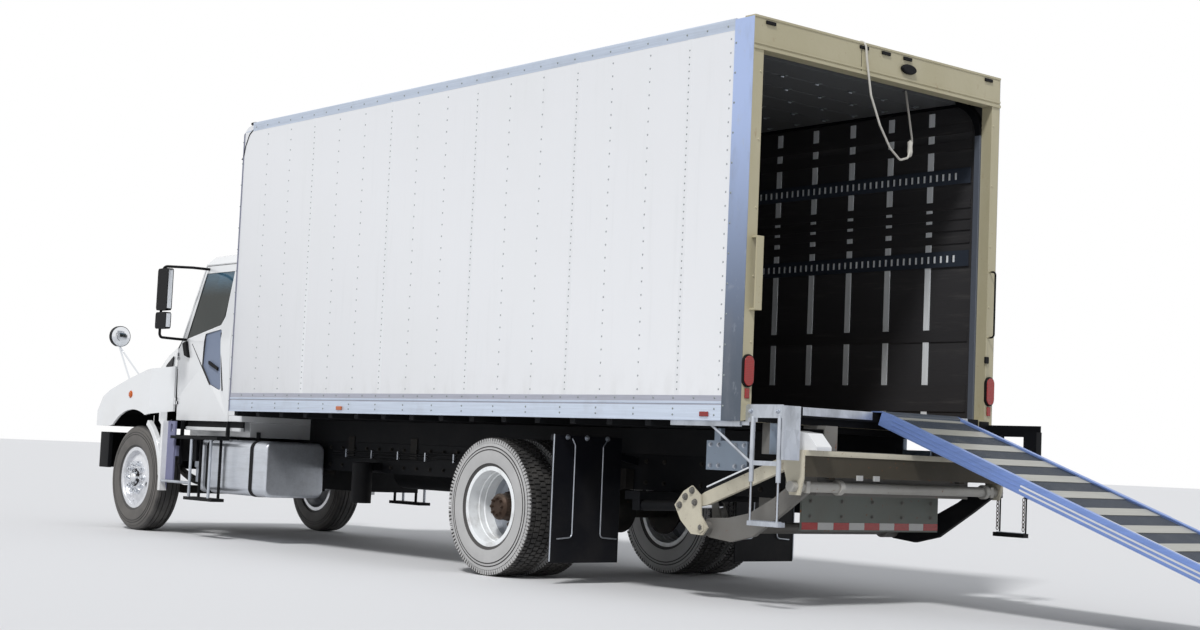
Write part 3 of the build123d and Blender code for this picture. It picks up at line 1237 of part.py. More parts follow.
# columns: out from the tyre's middle, radius
front_rim_profile = ((-120, bead_radius - 16), (-120, bead_radius + 18), (-112, bead_radius + 18),
                     (-112, bead_radius), (112, bead_radius), (112, bead_radius + 18), (120, bead_radius + 18),
                     (120, bead_radius - 16), (104, bead_radius - 25), (74, 256), (94, 210), (102, 180), (102, 92),
                     (128, 85), (128, 0), (60, 0), (60, spindle_radius + running_gap),
                     (-35, spindle_radius + running_gap), (-35, 90), (86, 90), (86, 176), (79, 203), (56, 252),
                     (50, bead_radius - 25))
for side, name in ((1, "left"), (-1, "right")):
    # Front: one tyre and one rim
    for place, x_axle, centres in (("front", front_axle_x, (front_tyre_y,)),
                                   ("rear", rear_axle_x, (rear_tyre_y, rear_tyre_y - dual_spacing))):
        with BuildPart() as tyre:
            for centre in centres:
                y = side * centre
                turned(x_axle, [(y - half_tyre + 36, bead_radius), (y - half_tyre + 29, bead_radius + 20),
                                (y - half_tyre, 380),
                                (y - half_tyre + 4, 470), (y - half_tyre + 24, tyre_radius - 8),
                                (y - half_tyre + 50, tyre_radius), (y + half_tyre - 50, tyre_radius),
                                (y + half_tyre - 24, tyre_radius - 8), (y + half_tyre - 4, 470),
                                (y + half_tyre, 380), (y + half_tyre - 29, bead_radius + 20),
                                (y + half_tyre - 36, bead_radius)])
        finish(place + "_tyre_" + name, tyre.part)
    with BuildPart() as front_rim:
        y = side * front_tyre_y
        turned(front_axle_x, [(y + side * out, radius) for out, radius in front_rim_profile])
        for turn in (1, -1):
            cross_tube(front_axle_x - turn * hand_hole_ring * cos(hand_hole_turn),
                       axle_z - turn * hand_hole_ring * sin(hand_hole_turn), hand_hole_radius,
                       sorted((y + side * 45, y + side * 110)), Mode.SUBTRACT)
    finish("front_rim_" + name, front_rim.part)
    with BuildPart() as rear_rims:
        y = side * rear_tyre_y
        middle = side * (rear_tyre_y - dual_spacing / 2)
        for centre, toward in ((y, -side), (y - side * dual_spacing, side)):
            turned(rear_axle_x, [(centre - 120, bead_radius - 16), (centre - 120, bead_radius + 18),
                                 (centre - 112, bead_radius + 18), (centre - 112, bead_radius),
                                 (centre + 112, bead_radius), (centre + 112, bead_radius + 18),
                                 (centre + 120, bead_radius + 18), (centre + 120, bead_radius - 16)])
            turned(rear_axle_x, [(centre - toward * 20, bead_radius - 15), (centre - toward * 20, bead_radius - 23),
                                 (centre + toward * 30, bead_radius - 23), (centre + toward * 30, bead_radius - 31),
                                 (centre + toward * 84, bead_radius - 31), (middle - toward * 14, 240),
                                 (middle - toward * 14, 80), (middle, 80), (middle, 248),
                                 (centre + toward * 104, bead_radius - 15)])
        turned(rear_axle_x, [(side * (backing_plate_y + 10), spindle_radius + running_gap),
                             (side * (backing_plate_y + 10), 100), (y + side * 30, 100),
                             (y + side * 50, 80), (y + side * 50, 0), (side * (spindle_end_rear + 5), 0),
                             (side * (spindle_end_rear + 5), spindle_radius + running_gap)])
    finish("rear_rims_" + name, rear_rims.part)

os.makedirs("parts", exist_ok=True)
for name, piece in pieces.items():
    export_step(piece, "parts/" + name + ".step")
print(len(pieces), "pieces written")
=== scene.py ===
# %% [markdown]
# A box truck, dressed around its CAD frame
#
# The truck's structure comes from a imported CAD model. It holds every panel, tube and joint at its
# real size. Here each of those pieces gets its finish, and the small things that a maker would buy
# by the box are added: rivets, nuts, tread, lenses, slots, chain and wire.
#
# We work in metres. +X points to the truck's nose, +Y to its left side, and the road is Z = 0.

# %% The frame and the libraries
import json
import math

import bmesh
import bpy
from mathutils import Matrix, Vector
from mathutils.bvhtree import BVHTree


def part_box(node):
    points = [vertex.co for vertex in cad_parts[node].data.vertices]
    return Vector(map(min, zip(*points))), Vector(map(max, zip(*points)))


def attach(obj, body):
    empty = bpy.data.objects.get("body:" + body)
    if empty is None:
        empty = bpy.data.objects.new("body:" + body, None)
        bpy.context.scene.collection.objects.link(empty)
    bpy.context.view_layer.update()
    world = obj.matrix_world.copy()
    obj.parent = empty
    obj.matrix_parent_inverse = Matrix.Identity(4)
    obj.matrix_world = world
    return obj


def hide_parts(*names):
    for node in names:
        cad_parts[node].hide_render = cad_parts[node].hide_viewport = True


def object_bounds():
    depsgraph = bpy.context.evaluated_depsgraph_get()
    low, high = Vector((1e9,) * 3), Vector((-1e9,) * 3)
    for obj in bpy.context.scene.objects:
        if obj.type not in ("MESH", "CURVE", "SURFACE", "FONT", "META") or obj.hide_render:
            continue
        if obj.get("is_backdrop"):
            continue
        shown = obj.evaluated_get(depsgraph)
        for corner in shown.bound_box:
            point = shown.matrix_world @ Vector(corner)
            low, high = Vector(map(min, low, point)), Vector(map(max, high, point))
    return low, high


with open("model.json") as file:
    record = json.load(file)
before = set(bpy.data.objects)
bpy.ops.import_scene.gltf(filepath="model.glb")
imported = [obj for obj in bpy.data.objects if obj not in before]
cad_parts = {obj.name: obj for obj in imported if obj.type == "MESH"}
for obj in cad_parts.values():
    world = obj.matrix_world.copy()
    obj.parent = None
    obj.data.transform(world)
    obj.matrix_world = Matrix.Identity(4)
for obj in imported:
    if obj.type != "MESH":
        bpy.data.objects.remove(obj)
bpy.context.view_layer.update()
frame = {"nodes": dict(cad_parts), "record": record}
nodes = frame["nodes"]
body_of_node = {}
for body, members in frame["record"]["behaviour"]["bodies"].items():
    for member in members:
        body_of_node[member] = body
scene = bpy.context.scene

# %% [markdown]
# Two helpers
#
# Every object goes into the scene the same way, and so does every node into its tree.

# %% Objects and nodes
def linked(name, data):
    """A new object in the scene."""
    made = bpy.data.objects.new(name, data)
    scene.collection.objects.link(made)
    return made


def add(tree, kind, out=0, inputs=None, **settings):
    """A new node. Its inputs take values or other nodes' outputs. Gives one output, or the node."""
    made = tree.nodes.new(kind)
    for key, value in settings.items():
        setattr(made, key, value)
    for key, value in (inputs or {}).items():
        if isinstance(value, bpy.types.NodeSocket):
            tree.links.new(value, made.inputs[key])
        else:
            made.inputs[key].default_value = value
    return made if out is None else made.outputs[out]


# %% [markdown]
# The camera
#
# A camera is easiest to check when it comes first. Its place and turn were found by lining up
# the freight body's corners. Yaw turns it about the vertical, pitch lifts it, and roll tips it.

# %% The camera
camera_place = Vector((-11.345, 9.668, 0.954))
camera_yaw = -0.7026
camera_pitch = 0.0754
camera_roll = 0.0426
camera_lens = 55.16

ahead = Vector((math.cos(camera_pitch) * math.cos(camera_yaw),
                math.cos(camera_pitch) * math.sin(camera_yaw), math.sin(camera_pitch)))
level_right = Vector((math.sin(camera_yaw), -math.cos(camera_yaw), 0))
level_up = level_right.cross(ahead)
camera_right = math.cos(camera_roll) * level_right + math.sin(camera_roll) * level_up
camera_up = math.cos(camera_roll) * level_up - math.sin(camera_roll) * level_right
camera = linked("camera", bpy.data.cameras.new("camera"))
camera.data.lens = camera_lens
camera.data.sensor_width = 36
camera.data.clip_end = 500
turn = Matrix((camera_right, camera_up, -ahead)).transposed().to_4x4()
camera.matrix_world = Matrix.Translation(camera_place) @ turn
scene.camera = camera
print("camera looks along", [round(value, 3) for value in ahead])

# %% [markdown]
# Floor and light
#
# A pale floor catches the shadow. The sky is dim for what it lights and white for what the eye,
# glass or metal sees, so pale paint keeps its colour. One broad sun gives the sides their shape.

# %% Floor and light
sky_light = 0.50
sun_strength = 2.15
sun_turn = (math.radians(38), math.radians(14), math.radians(196))
sun_width = math.radians(9)
floor_reach = 160
floor_colour = (0.72, 0.72, 0.73, 1)

scene.view_settings.view_transform = "Standard"
scene.world = bpy.data.worlds.new("studio")
scene.world.use_nodes = True
sky = scene.world.node_tree
sky.nodes.clear()
rays = add(sky, "ShaderNodeLightPath", None).outputs
seen = rays["Is Camera Ray"]
for ray in ("Is Glossy Ray", "Is Transmission Ray"):
    seen = add(sky, "ShaderNodeMath", 0, {0: seen, 1: rays[ray]}, operation="MAXIMUM")
sky_dim = add(sky, "ShaderNodeBackground", 0, {"Color": (0.93, 0.96, 1.0, 1), "Strength": sky_light})
sky_white = add(sky, "ShaderNodeBackground", 0, {"Color": (1, 1, 1, 1)})
sky_mix = add(sky, "ShaderNodeMixShader", 0, {"Fac": seen, 1: sky_dim, 2: sky_white})
add(sky, "ShaderNodeOutputWorld", None, {"Surface": sky_mix})

sun = linked("sun", bpy.data.lights.new("sun", "SUN"))
sun.data.energy = sun_strength
sun.data.angle = sun_width
sun.rotation_euler = sun_turn

floor_mesh = bpy.data.meshes.new("floor")
floor_corners = [(x * floor_reach, y * floor_reach, 0) for x, y in ((-1, -1), (1, -1), (1, 1), (-1, 1))]
floor_mesh.from_pydata(floor_corners, [], [(0, 1, 2, 3)])
floor = linked("floor", floor_mesh)
floor_paint = bpy.data.materials.new("floor")
floor_paint.use_nodes = True
floor_paint.node_tree.nodes["Principled BSDF"].inputs["Base Color"].default_value = floor_colour
floor_paint.node_tree.nodes["Principled BSDF"].inputs["Roughness"].default_value = 0.9
floor_mesh.materials.append(floor_paint)
floor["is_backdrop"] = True

# %% [markdown]
# Finishes
#
# Each finish starts from the shader's own sockets, which hold what is the same all over. What
# changes over the surface is wired on top: noise for dirt, a stretched one for rain streaks, and a
# fine one as relief. All read Object coordinates, so the pattern stays on the piece when a door or
# wheel turns.

# %% Helpers for finishes
def shader(name, colour, roughness, metallic=0.0, coat=0.0):
    """A new finish with one colour. Returns it with its tree and its surface node."""
    made = bpy.data.materials.new(name)
    made.use_nodes = True
    surface = made.node_tree.nodes["Principled BSDF"]
    values = {"Base Color": (*colour, 1), "Roughness": roughness, "Metallic": metallic,
              "Coat Weight": coat, "Coat Roughness": 0.12}
    for socket, value in values.items():
        surface.inputs[socket].default_value = value
    return made, made.node_tree, surface


def place(tree, stretch=(1, 1, 1)):
    """Object coordinates, with the pattern packed closer along each axis by stretch."""
    where = add(tree, "ShaderNodeTexCoord", "Object")
    return add(tree, "ShaderNodeMapping", 0, {"Scale": stretch, "Vector": where})


def noise(tree, scale, stretch=(1, 1, 1), detail=5, roughness=0.6):
    """Cloudy values from 0 to 1."""
    inputs = {"Scale": scale, "Detail": detail, "Roughness": roughness, "Vector": place(tree, stretch)}
    return add(tree, "ShaderNodeTexNoise", "Fac", inputs)


def spread(tree, value, low, high, to_low=0.0, to_high=1.0):
    """Values from low to high stretched over to_low to to_high."""
    inputs = {"Value": value, "From Min": low, "From Max": high, "To Min": to_low, "To Max": to_high}
    return add(tree, "ShaderNodeMapRange", "Result", inputs, interpolation_type="SMOOTHSTEP")


def times(tree, first, second):
    """The product of two values."""
    return add(tree, "ShaderNodeMath", 0, {0: first, 1: second}, operation="MULTIPLY")


def height(tree):
    """How high a point of the piece stands over the road."""
    return add(tree, "ShaderNodeSeparateXYZ", "Z", {0: place(tree)})


def tint(tree, surface, share, colour):
    """Mixes a colour into the base colour by a share that changes over the surface."""
    base = surface.inputs["Base Color"]
    under = base.links[0].from_socket if base.is_linked else base.default_value
    mixed = {"Factor": share, "A": under, "B": (*colour, 1)}
    tree.links.new(add(tree, "ShaderNodeMix", "Result", mixed, data_type="RGBA"), base)


def clouds(tree, surface, colour, share, *pattern):
    """Mixes a colour in by noise. The share says where it sets in and is full, and its range."""
    tint(tree, surface, spread(tree, noise(tree, *pattern), *share), colour)


def relief(tree, surface, value, depth):
    """Raises the surface where the value is high, by a depth in metres."""
    bump = add(tree, "ShaderNodeBump", "Normal", {"Distance": depth, "Height": value})
    tree.links.new(bump, surface.inputs["Normal"])


def grime(tree, surface, colour, amount, scale, low, high):
    """Road dirt that fades out upwards, broken up by noise."""
    fade = spread(tree, height(tree), low, high, 1.0, 0.15)
    cloud = spread(tree, noise(tree, scale, detail=8), 0.35, 0.75)
    tint(tree, surface, times(tree, times(tree, fade, cloud), amount), colour)


# %% [markdown]
# Paint on sheet metal
#
# The freight body's sheets are prefinished white aluminium. They aren't quite flat and carry faint
# rain streaks, so a tall stretched noise darkens them a little and a wide one bends the gloss.

# %% White sheets and cab paint
dust = (0.36, 0.33, 0.28)
road_dirt = (0.13, 0.115, 0.095)
rust_brown = (0.20, 0.075, 0.03)
even = (1, 1, 1)


def sheet_finish():
    made, tree, surface = shader("white_sheet", (0.775, 0.782, 0.80), 0.40, coat=0.05)
    clouds(tree, surface, (0.66, 0.67, 0.68), (0.52, 0.85, 0.0, 0.30), 3.0, (5, 5, 0.35), 6)
    clouds(tree, surface, (0.74, 0.75, 0.75), (0.45, 0.75, 0.0, 0.25), 0.9, even, 3)
    foot = spread(tree, height(tree), 1.36, 1.62, 1.0, 0.0)
    splash = spread(tree, noise(tree, 7.0, (1, 1, 0.4), 8), 0.42, 0.8, 0, 0.25)
    tint(tree, surface, times(tree, foot, splash), (0.45, 0.44, 0.42))
    relief(tree, surface, noise(tree, 1.3, detail=2), 0.004)
    return made


def cab_finish():
    made, tree, surface = shader("cab_white", (0.78, 0.79, 0.80), 0.24, coat=0.6)
    grime(tree, surface, (0.50, 0.47, 0.42), 0.45, 3.0, 0.4, 1.5)
    clouds(tree, surface, (0.68, 0.70, 0.74), (0.45, 0.8, 0, 0.2), 1.6, even, 3)
    relief(tree, surface, noise(tree, 60, detail=2), 0.0003)
    return made


def cream_finish():
    made, tree, surface = shader("cream_paint", (0.42, 0.38, 0.25), 0.46, coat=0.05)
    clouds(tree, surface, (0.50, 0.46, 0.33), (0.35, 0.75, 0, 0.55), 2.4, (1, 1, 0.5), 6)
    clouds(tree, surface, (0.33, 0.25, 0.15), (0.60, 0.72), 22, (1, 1, 0.3), 9, 0.7)
    clouds(tree, surface, rust_brown, (0.665, 0.70), 38, even, 6, 0.75)
    relief(tree, surface, noise(tree, 45, detail=3), 0.0006)
    return made


white_sheet = sheet_finish()
cab_white = cab_finish()
cream_paint = cream_finish()

# %% [markdown]
# Dark paint under the body
#
# Chassis paint is black where it is clean and brown-grey where the road has been at it. Dust
# settles more on faces that look up, which the surface normal tells.

# %% Chassis paint, cast steel and rubber
def settled(tree, surface, colour, amount):
    """Dust on faces that look up."""
    facing = add(tree, "ShaderNodeNewGeometry", "Normal")
    up = spread(tree, add(tree, "ShaderNodeSeparateXYZ", "Z", {0: facing}), 0.2, 0.95)
    cloud = spread(tree, noise(tree, 9, detail=6), 0.3, 0.7, 0.4, 1.0)
    tint(tree, surface, times(tree, times(tree, up, cloud), amount), colour)


def dark_finish(name, colour, roughness, dirt=0.5, metallic=0.0, wear=None):
    made, tree, surface = shader(name, colour, roughness, metallic)
    surface.inputs["Specular IOR Level"].default_value = 0.14
    grime(tree, surface, road_dirt, dirt, 4.0, 0.1, 1.4)
    settled(tree, surface, dust, 0.45 * dirt)
    if wear:
        clouds(tree, surface, wear, (0.62, 0.70), 26, even, 8, 0.7)
    relief(tree, surface, noise(tree, 70, detail=4), 0.0008)
    return made


black_paint = dark_finish("black_paint", (0.0035, 0.004, 0.0055), 0.60, 0.06)
cast_steel = dark_finish("cast_steel", (0.018, 0.017, 0.016), 0.62, 0.3, 0.3, (0.07, 0.035, 0.02))
lift_grey = dark_finish("lift_grey", (0.175, 0.17, 0.16), 0.48, 0.35, 0.2, rust_brown)
lift_cream = dark_finish("lift_cream", (0.58, 0.54, 0.43), 0.46, 0.5, 0.0, rust_brown)
black_plastic = dark_finish("black_plastic", (0.005, 0.005, 0.006), 0.55, 0.05)
flap_rubber = dark_finish("flap_rubber", (0.0045, 0.005, 0.0075), 0.5, 0.07)
undercoat = dark_finish("undercoat", (0.010, 0.0105, 0.012), 0.75, 0.15)


def tyre_finish():
    made, tree, surface = shader("tyre_rubber", (0.022, 0.022, 0.023), 0.62)
    clouds(tree, surface, (0.115, 0.108, 0.100), (0.30, 0.72, 0.10, 0.62), 6, even, 8)
    relief(tree, surface, noise(tree, 120, detail=5), 0.0006)
    return made


tyre_rubber = tyre_finish()

# %% [markdown]
# Bare metals
#
# Galvanised sheet shows large zinc crystals, and a Voronoi pattern gives each its own grey.
# Drawn aluminium is streaked along its length, so its noise is stretched along one axis.

# %% Galvanised sheet, aluminium and chrome
def galvanised_finish():
    made, tree, surface = shader("galvanised", (0.46, 0.49, 0.54), 0.34, 0.75)
    cells = add(tree, "ShaderNodeTexVoronoi", "Color", {"Scale": 26, "Vector": place(tree, (1, 1, 0.6))})
    crystal = add(tree, "ShaderNodeSeparateColor", "Red", {0: cells})
    tint(tree, surface, times(tree, crystal, 0.32), (0.70, 0.74, 0.80))
    clouds(tree, surface, (0.20, 0.21, 0.23), (0.45, 0.72, 0, 0.6), 4.5, (1, 1, 0.35), 8)
    relief(tree, surface, noise(tree, 30, detail=4), 0.0008)
    return made


def aluminium_finish(name, colour, roughness, streak, metallic=0.8, stain=0.35):
    made, tree, surface = shader(name, colour, roughness, metallic)
    drawn = tuple(value * 0.72 for value in colour)
    clouds(tree, surface, drawn, (0.35, 0.7, 0, 0.45), 14, streak, 7, 0.7)
    clouds(tree, surface, (0.24, 0.23, 0.21), (0.5, 0.78, 0, stain), 5, even, 7)
    relief(tree, surface, noise(tree, 90, streak, 3), 0.0004)
    return made


galvanised = galvanised_finish()
rail_aluminium = aluminium_finish("rail_aluminium", (0.60, 0.67, 0.785), 0.40, (0.12, 1, 6), 0.55, 0.15)
tank_aluminium = aluminium_finish("tank_aluminium", (0.62, 0.65, 0.70), 0.30, (0.2, 2, 2), 0.75, 0.15)
chrome = shader("chrome", (0.78, 0.80, 0.83), 0.08, 1.0)[0]


def rim_finish():
    made, tree, surface = shader("rim_white", (0.90, 0.92, 0.93), 0.34, 0.05, coat=0.2)
    clouds(tree, surface, (0.33, 0.31, 0.28), (0.45, 0.75, 0, 0.5), 7, even, 8)
    return made


rim_white = rim_finish()
hub_brown = dark_finish("hub_brown", (0.060, 0.038, 0.028), 0.5, 0.4, 0.4)

# %% [markdown]
# Wood, glass, lenses and cloth
#
# The floor's strips come from a brick pattern, a lens's prisms from evenly set cells, and the seat
# cloth's weave from two waves at right angles.

# %% Wood, glass, lenses and cloth
def wood_finish():
    made, tree, surface = shader("laminated_floor", (0.16, 0.105, 0.062), 0.62)
    strips = {"Scale": 1.0, "Brick Width": 1.4, "Row Height": 0.038, "Mortar Size": 0.0016,
              "Color1": (0.12, 0.08, 0.05, 1), "Color2": (0.21, 0.145, 0.09, 1),
              "Mortar": (0.03, 0.022, 0.016, 1), "Vector": place(tree)}
    tree.links.new(add(tree, "ShaderNodeTexBrick", "Color", strips), surface.inputs["Base Color"])
    clouds(tree, surface, (0.07, 0.048, 0.03), (0.4, 0.7, 0, 0.5), 16, (0.15, 4, 4), 8, 0.7)
    clouds(tree, surface, (0.10, 0.09, 0.08), (0.5, 0.75, 0, 0.5), 3, even, 6)
    relief(tree, surface, noise(tree, 30, (0.2, 4, 4), 4), 0.0008)
    return made


def glass_finish():
    """Green glass, faintly dusty, with a blue band along its top that is a painted sky reflection."""
    made, tree, surface = shader("cab_glass_with_sky", (0.012, 0.028, 0.022), 0.03)
    for socket, value in (("Transmission Weight", 0.7), ("IOR", 1.45), ("Specular IOR Level", 0.12)):
        surface.inputs[socket].default_value = value
    clouds(tree, surface, (0.25, 0.25, 0.24), (0.4, 0.8, 0, 0.12), 3, even, 4)
    # Painted sky reflection: blue towards the top of the glass.
    tint(tree, surface, spread(tree, height(tree), 2.30, 2.56, 0.0, 0.8), (0.20, 0.38, 0.52))
    return made


def lens_finish(name, colour, cell):
    made, tree, surface = shader(name, colour, 0.22, coat=0.25)
    inputs = {"Scale": cell, "Randomness": 0, "Vector": place(tree)}
    cells = add(tree, "ShaderNodeTexVoronoi", "Distance", inputs)
    tint(tree, surface, spread(tree, cells, 0.2, 0.6, 0, 0.6), tuple(value * 0.35 for value in colour))
    relief(tree, surface, cells, 0.0015)
    return made


def cloth_finish():
    made, tree, surface = shader("seat_cloth", (0.035, 0.036, 0.042), 0.9)
    surface.inputs["Sheen Weight"].default_value = 0.4
    threads = []
    for axis in ("X", "Z"):
        inputs = {"Scale": 90, "Vector": place(tree)}
        threads.append(add(tree, "ShaderNodeTexWave", "Fac", inputs, bands_direction=axis))
    weave = add(tree, "ShaderNodeMath", 0, {0: threads[0], 1: threads[1]}, operation="MAXIMUM")
    tint(tree, surface, spread(tree, weave, 0.4, 1.0, 0, 0.5), (0.09, 0.09, 0.10))
    relief(tree, surface, weave, 0.0008)
    return made


def lining_finish():
    """Dark painted plywood lining, rubbed paler by freight, and made darker still as painted shade inside
    the body.
    """
    made, tree, surface = shader("lining_and_inner_shade", (0.030, 0.029, 0.031), 0.55)
    clouds(tree, surface, (0.10, 0.095, 0.09), (0.52, 0.8, 0, 0.5), 6, (0.3, 1, 4), 8, 0.7)
    relief(tree, surface, noise(tree, 25, (0.3, 1, 3), 4), 0.001)
    return made


laminated_floor = wood_finish()
cab_glass_with_sky = glass_finish()
red_lens = lens_finish("red_lens", (0.36, 0.008, 0.007), 90)
amber_lens = lens_finish("amber_lens", (0.75, 0.16, 0.02), 110)
clear_lens = lens_finish("clear_lens", (0.72, 0.75, 0.78), 60)
seat_cloth = cloth_finish()
# The lining's dark colour is partly painted shade for the inside of the body.
lining_and_inner_shade = lining_finish()
post_silver = aluminium_finish("post_silver", (0.90, 0.93, 0.95), 0.45, (3, 3, 0.2), 0.05, 0.1)
print(len(bpy.data.materials), "finishes")

# %% [markdown]
# Shapes in mesh code
#
# A small vocabulary covers most made things: a cuboid, an outline pushed along an axis, and a
# profile turned about one. Each returns points and faces, so several can share one object.

# %% Shape helpers
def cuboid(low, high):
    """A box between two corners."""
    return prism([(low[0], low[1]), (high[0], low[1]), (high[0], high[1]), (low[0], high[1])],
                 "z", low[2], high[2])


def lift_point(axis, first, second, along):
    """A point of a flat outline, put at a station along an axis."""
    return {"x": (along, first, second), "y": (first, along, second), "z": (first, second, along)}[axis]


def prism(outline, axis, low, high):
    """An outline in the other two axes, pushed from low to high along this one."""
    count = len(outline)
    points = [lift_point(axis, a, b, along) for along in (low, high) for a, b in outline]
    faces = [tuple(range(count)), tuple(range(2 * count - 1, count - 1, -1))]
    for number in range(count):
        after = (number + 1) % count
        faces.append((number, number + count, after + count, after))
    return points, faces


def turned(profile, centre, axis="y", steps=64):
    """A closed profile of (along, radius) points turned about an axis through a centre."""
    count = len(profile)
    points = []
    faces = []
    for step in range(steps):
        angle = 2 * math.pi * step / steps
        here = step * count
        after = (step + 1) % steps * count
        for number, (along, radius) in enumerate(profile):
            offset = lift_point(axis, radius * math.cos(angle), radius * math.sin(angle), along)
            points.append(tuple(a + b for a, b in zip(centre, offset)))
            up = (number + 1) % count
            faces.append((here + number, after + number, after + up, here + up))
    return points, faces


def oval(centre, width, tall, steps=24):
    """A slot outline: a rectangle with round ends, standing up."""
    outline = []
    straight = (tall - width) / 2
    for step in range(steps):
        angle = 2 * math.pi * step / steps
        shift = straight if math.sin(angle) >= 0 else -straight
        outline.append((centre[0] + width / 2 * math.cos(angle),
                        centre[1] + width / 2 * math.sin(angle) + shift))
    return outline


def made_of(name, shapes, finish, body, bevel=0.0, smooth=35, stands_for=(), choose=None):
    """One piece from several shapes, with its faces turned outwards and its edges softened.

    With more than one finish, choose(centre, normal) gives the number of each face's finish.
    """
    work = bmesh.new()
    for points, faces in shapes:
        corners = [work.verts.new(point) for point in points]
        for face in faces:
            work.faces.new([corners[number] for number in face])
    bmesh.ops.remove_doubles(work, verts=work.verts, dist=1e-6)
    bmesh.ops.recalc_face_normals(work, faces=work.faces)
    mesh = bpy.data.meshes.new(name)
    for one in finish if isinstance(finish, tuple) else (finish,):
        mesh.materials.append(one)
    if choose:
        for face in work.faces:
            face.material_index = choose(face.calc_center_median(), face.normal)
    work.to_mesh(mesh)
    work.free()
    return settle(name, mesh, body, bevel, smooth, stands_for)


def settle(name, mesh, body, bevel=0.0, smooth=35, stands_for=(), segments=2):
    """Gives a mesh its object, shading and bevel, and lets it ride on its body."""
    mesh.shade_smooth()
    mesh.set_sharp_from_angle(angle=math.radians(smooth))
    piece = linked(name, mesh)
    if bevel:
        softened = piece.modifiers.new("softened", "BEVEL")
        softened.width = bevel
        softened.segments = segments
        softened.limit_method = "ANGLE"
        softened.angle_limit = math.radians(smooth)
        softened.harden_normals = True
    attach(piece, body)
    if stands_for:
        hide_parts(*stands_for)
    return piece


# %% [markdown]
# One tree for all that repeats
#
# Rivets, nuts, tread blocks and slots differ only in shape. Each tree below takes loose points that
# know which way they face, puts its shape on every one, and makes the copies real. The sizes are
# the tree's named inputs, so one tree serves many rows.

# %% Trees for repeats
def start_tree(name, **sizes):
    """A geometry tree that takes points, named sizes and a finish, with its entry's outputs."""
    tree = bpy.data.node_groups.new(name, "GeometryNodeTree")
    for label, kind in {"Points": "Geometry", **sizes, "Finish": "Material"}.items():
        tree.interface.new_socket(label, in_out="INPUT", socket_type="NodeSocket" + kind)
    tree.interface.new_socket("Shapes", in_out="OUTPUT", socket_type="NodeSocketGeometry")
    return tree, add(tree, "NodeGroupInput", None).outputs


def hand_out(tree, entry, shape):
    """Makes a shape real, sets its finish and lets it leave the tree."""
    real = add(tree, "GeometryNodeRealizeInstances", 0, {"Geometry": shape})
    painted = add(tree, "GeometryNodeSetMaterial", 0, {"Geometry": real, "Material": entry["Finish"]})
    add(tree, "NodeGroupOutput", None, {"Shapes": painted})
    return tree


def on_points(tree, entry, shape):
    """Puts the shape on every point, turned and sized by what is stored on the point."""
    stored = {}
    for label in ("facing", "along", "size"):
        stored[label] = add(tree, "GeometryNodeInputNamedAttribute", "Attribute", {"Name": label},
                            data_type="FLOAT_VECTOR")
    axes = {"Primary Axis": stored["facing"], "Secondary Axis": stored["along"]}
    facing = add(tree, "FunctionNodeAxesToRotation", 0, axes, primary_axis="Z", secondary_axis="X")
    inputs = {"Points": entry["Points"], "Instance": shape, "Rotation": facing, "Scale": stored["size"]}
    return hand_out(tree, entry, add(tree, "GeometryNodeInstanceOnPoints", 0, inputs))


def rivet_tree():
    """A brazier head: a flat-topped cone of eight sides."""
    tree, entry = start_tree("rivets", Radius="Float", Height="Float")
    inputs = {"Vertices": 8, "Radius Top": times(tree, entry["Radius"], 0.55),
              "Radius Bottom": entry["Radius"], "Depth": entry["Height"]}
    return on_points(tree, entry, add(tree, "GeometryNodeMeshCone", 0, inputs))


def nut_tree():
    """A hexagon nut on a round washer with the stud's end through it."""
    tree, entry = start_tree("nuts", Across="Float", Height="Float")
    joined = add(tree, "GeometryNodeJoinGeometry", None)
    # columns: sides, radius as a share of Across, height as a share of Height
    for sides_count, wide, tall in ((6, 0.577, 1.0), (16, 0.72, 0.25), (10, 0.30, 1.45)):
        depth = times(tree, entry["Height"], tall)
        inputs = {"Vertices": sides_count, "Radius": times(tree, entry["Across"], wide), "Depth": depth}
        part = add(tree, "GeometryNodeMeshCylinder", 0, inputs)
        lift = add(tree, "ShaderNodeCombineXYZ", 0, {"Z": times(tree, depth, 0.5)})
        moved = add(tree, "GeometryNodeTransform", 0, {"Geometry": part, "Translation": lift})
        tree.links.new(moved, joined.inputs["Geometry"])
    return on_points(tree, entry, joined.outputs["Geometry"])


def block_tree():
    """A block of a given size, centred on its point."""
    tree, entry = start_tree("blocks", Size="Vector")
    return on_points(tree, entry, add(tree, "GeometryNodeMeshCube", 0, {"Size": entry["Size"]}))


def rod_tree():
    """A round rod that starts at its point and runs the way it faces."""
    tree, entry = start_tree("rods", Radius="Float", Length="Float", Sides="Int")
    inputs = {"Vertices": entry["Sides"], "Radius Top": entry["Radius"], "Radius Bottom": entry["Radius"],
              "Depth": entry["Length"]}
    return on_points(tree, entry, add(tree, "GeometryNodeMeshCone", 0, inputs))


def link_tree():
    """A chain link: wire bent round a long loop."""
    tree, entry = start_tree("links", Radius="Float", Wire="Float")
    circle = "GeometryNodeCurvePrimitiveCircle"
    loop = add(tree, circle, 0, {"Resolution": 12, "Radius": entry["Radius"]})
    longer = add(tree, "GeometryNodeTransform", 0, {"Geometry": loop, "Scale": (1.0, 1.7, 1.0)})
    section = add(tree, circle, 0, {"Resolution": 6, "Radius": entry["Wire"]})
    inputs = {"Curve": longer, "Profile Curve": section}
    return on_points(tree, entry, add(tree, "GeometryNodeCurveToMesh", 0, inputs))


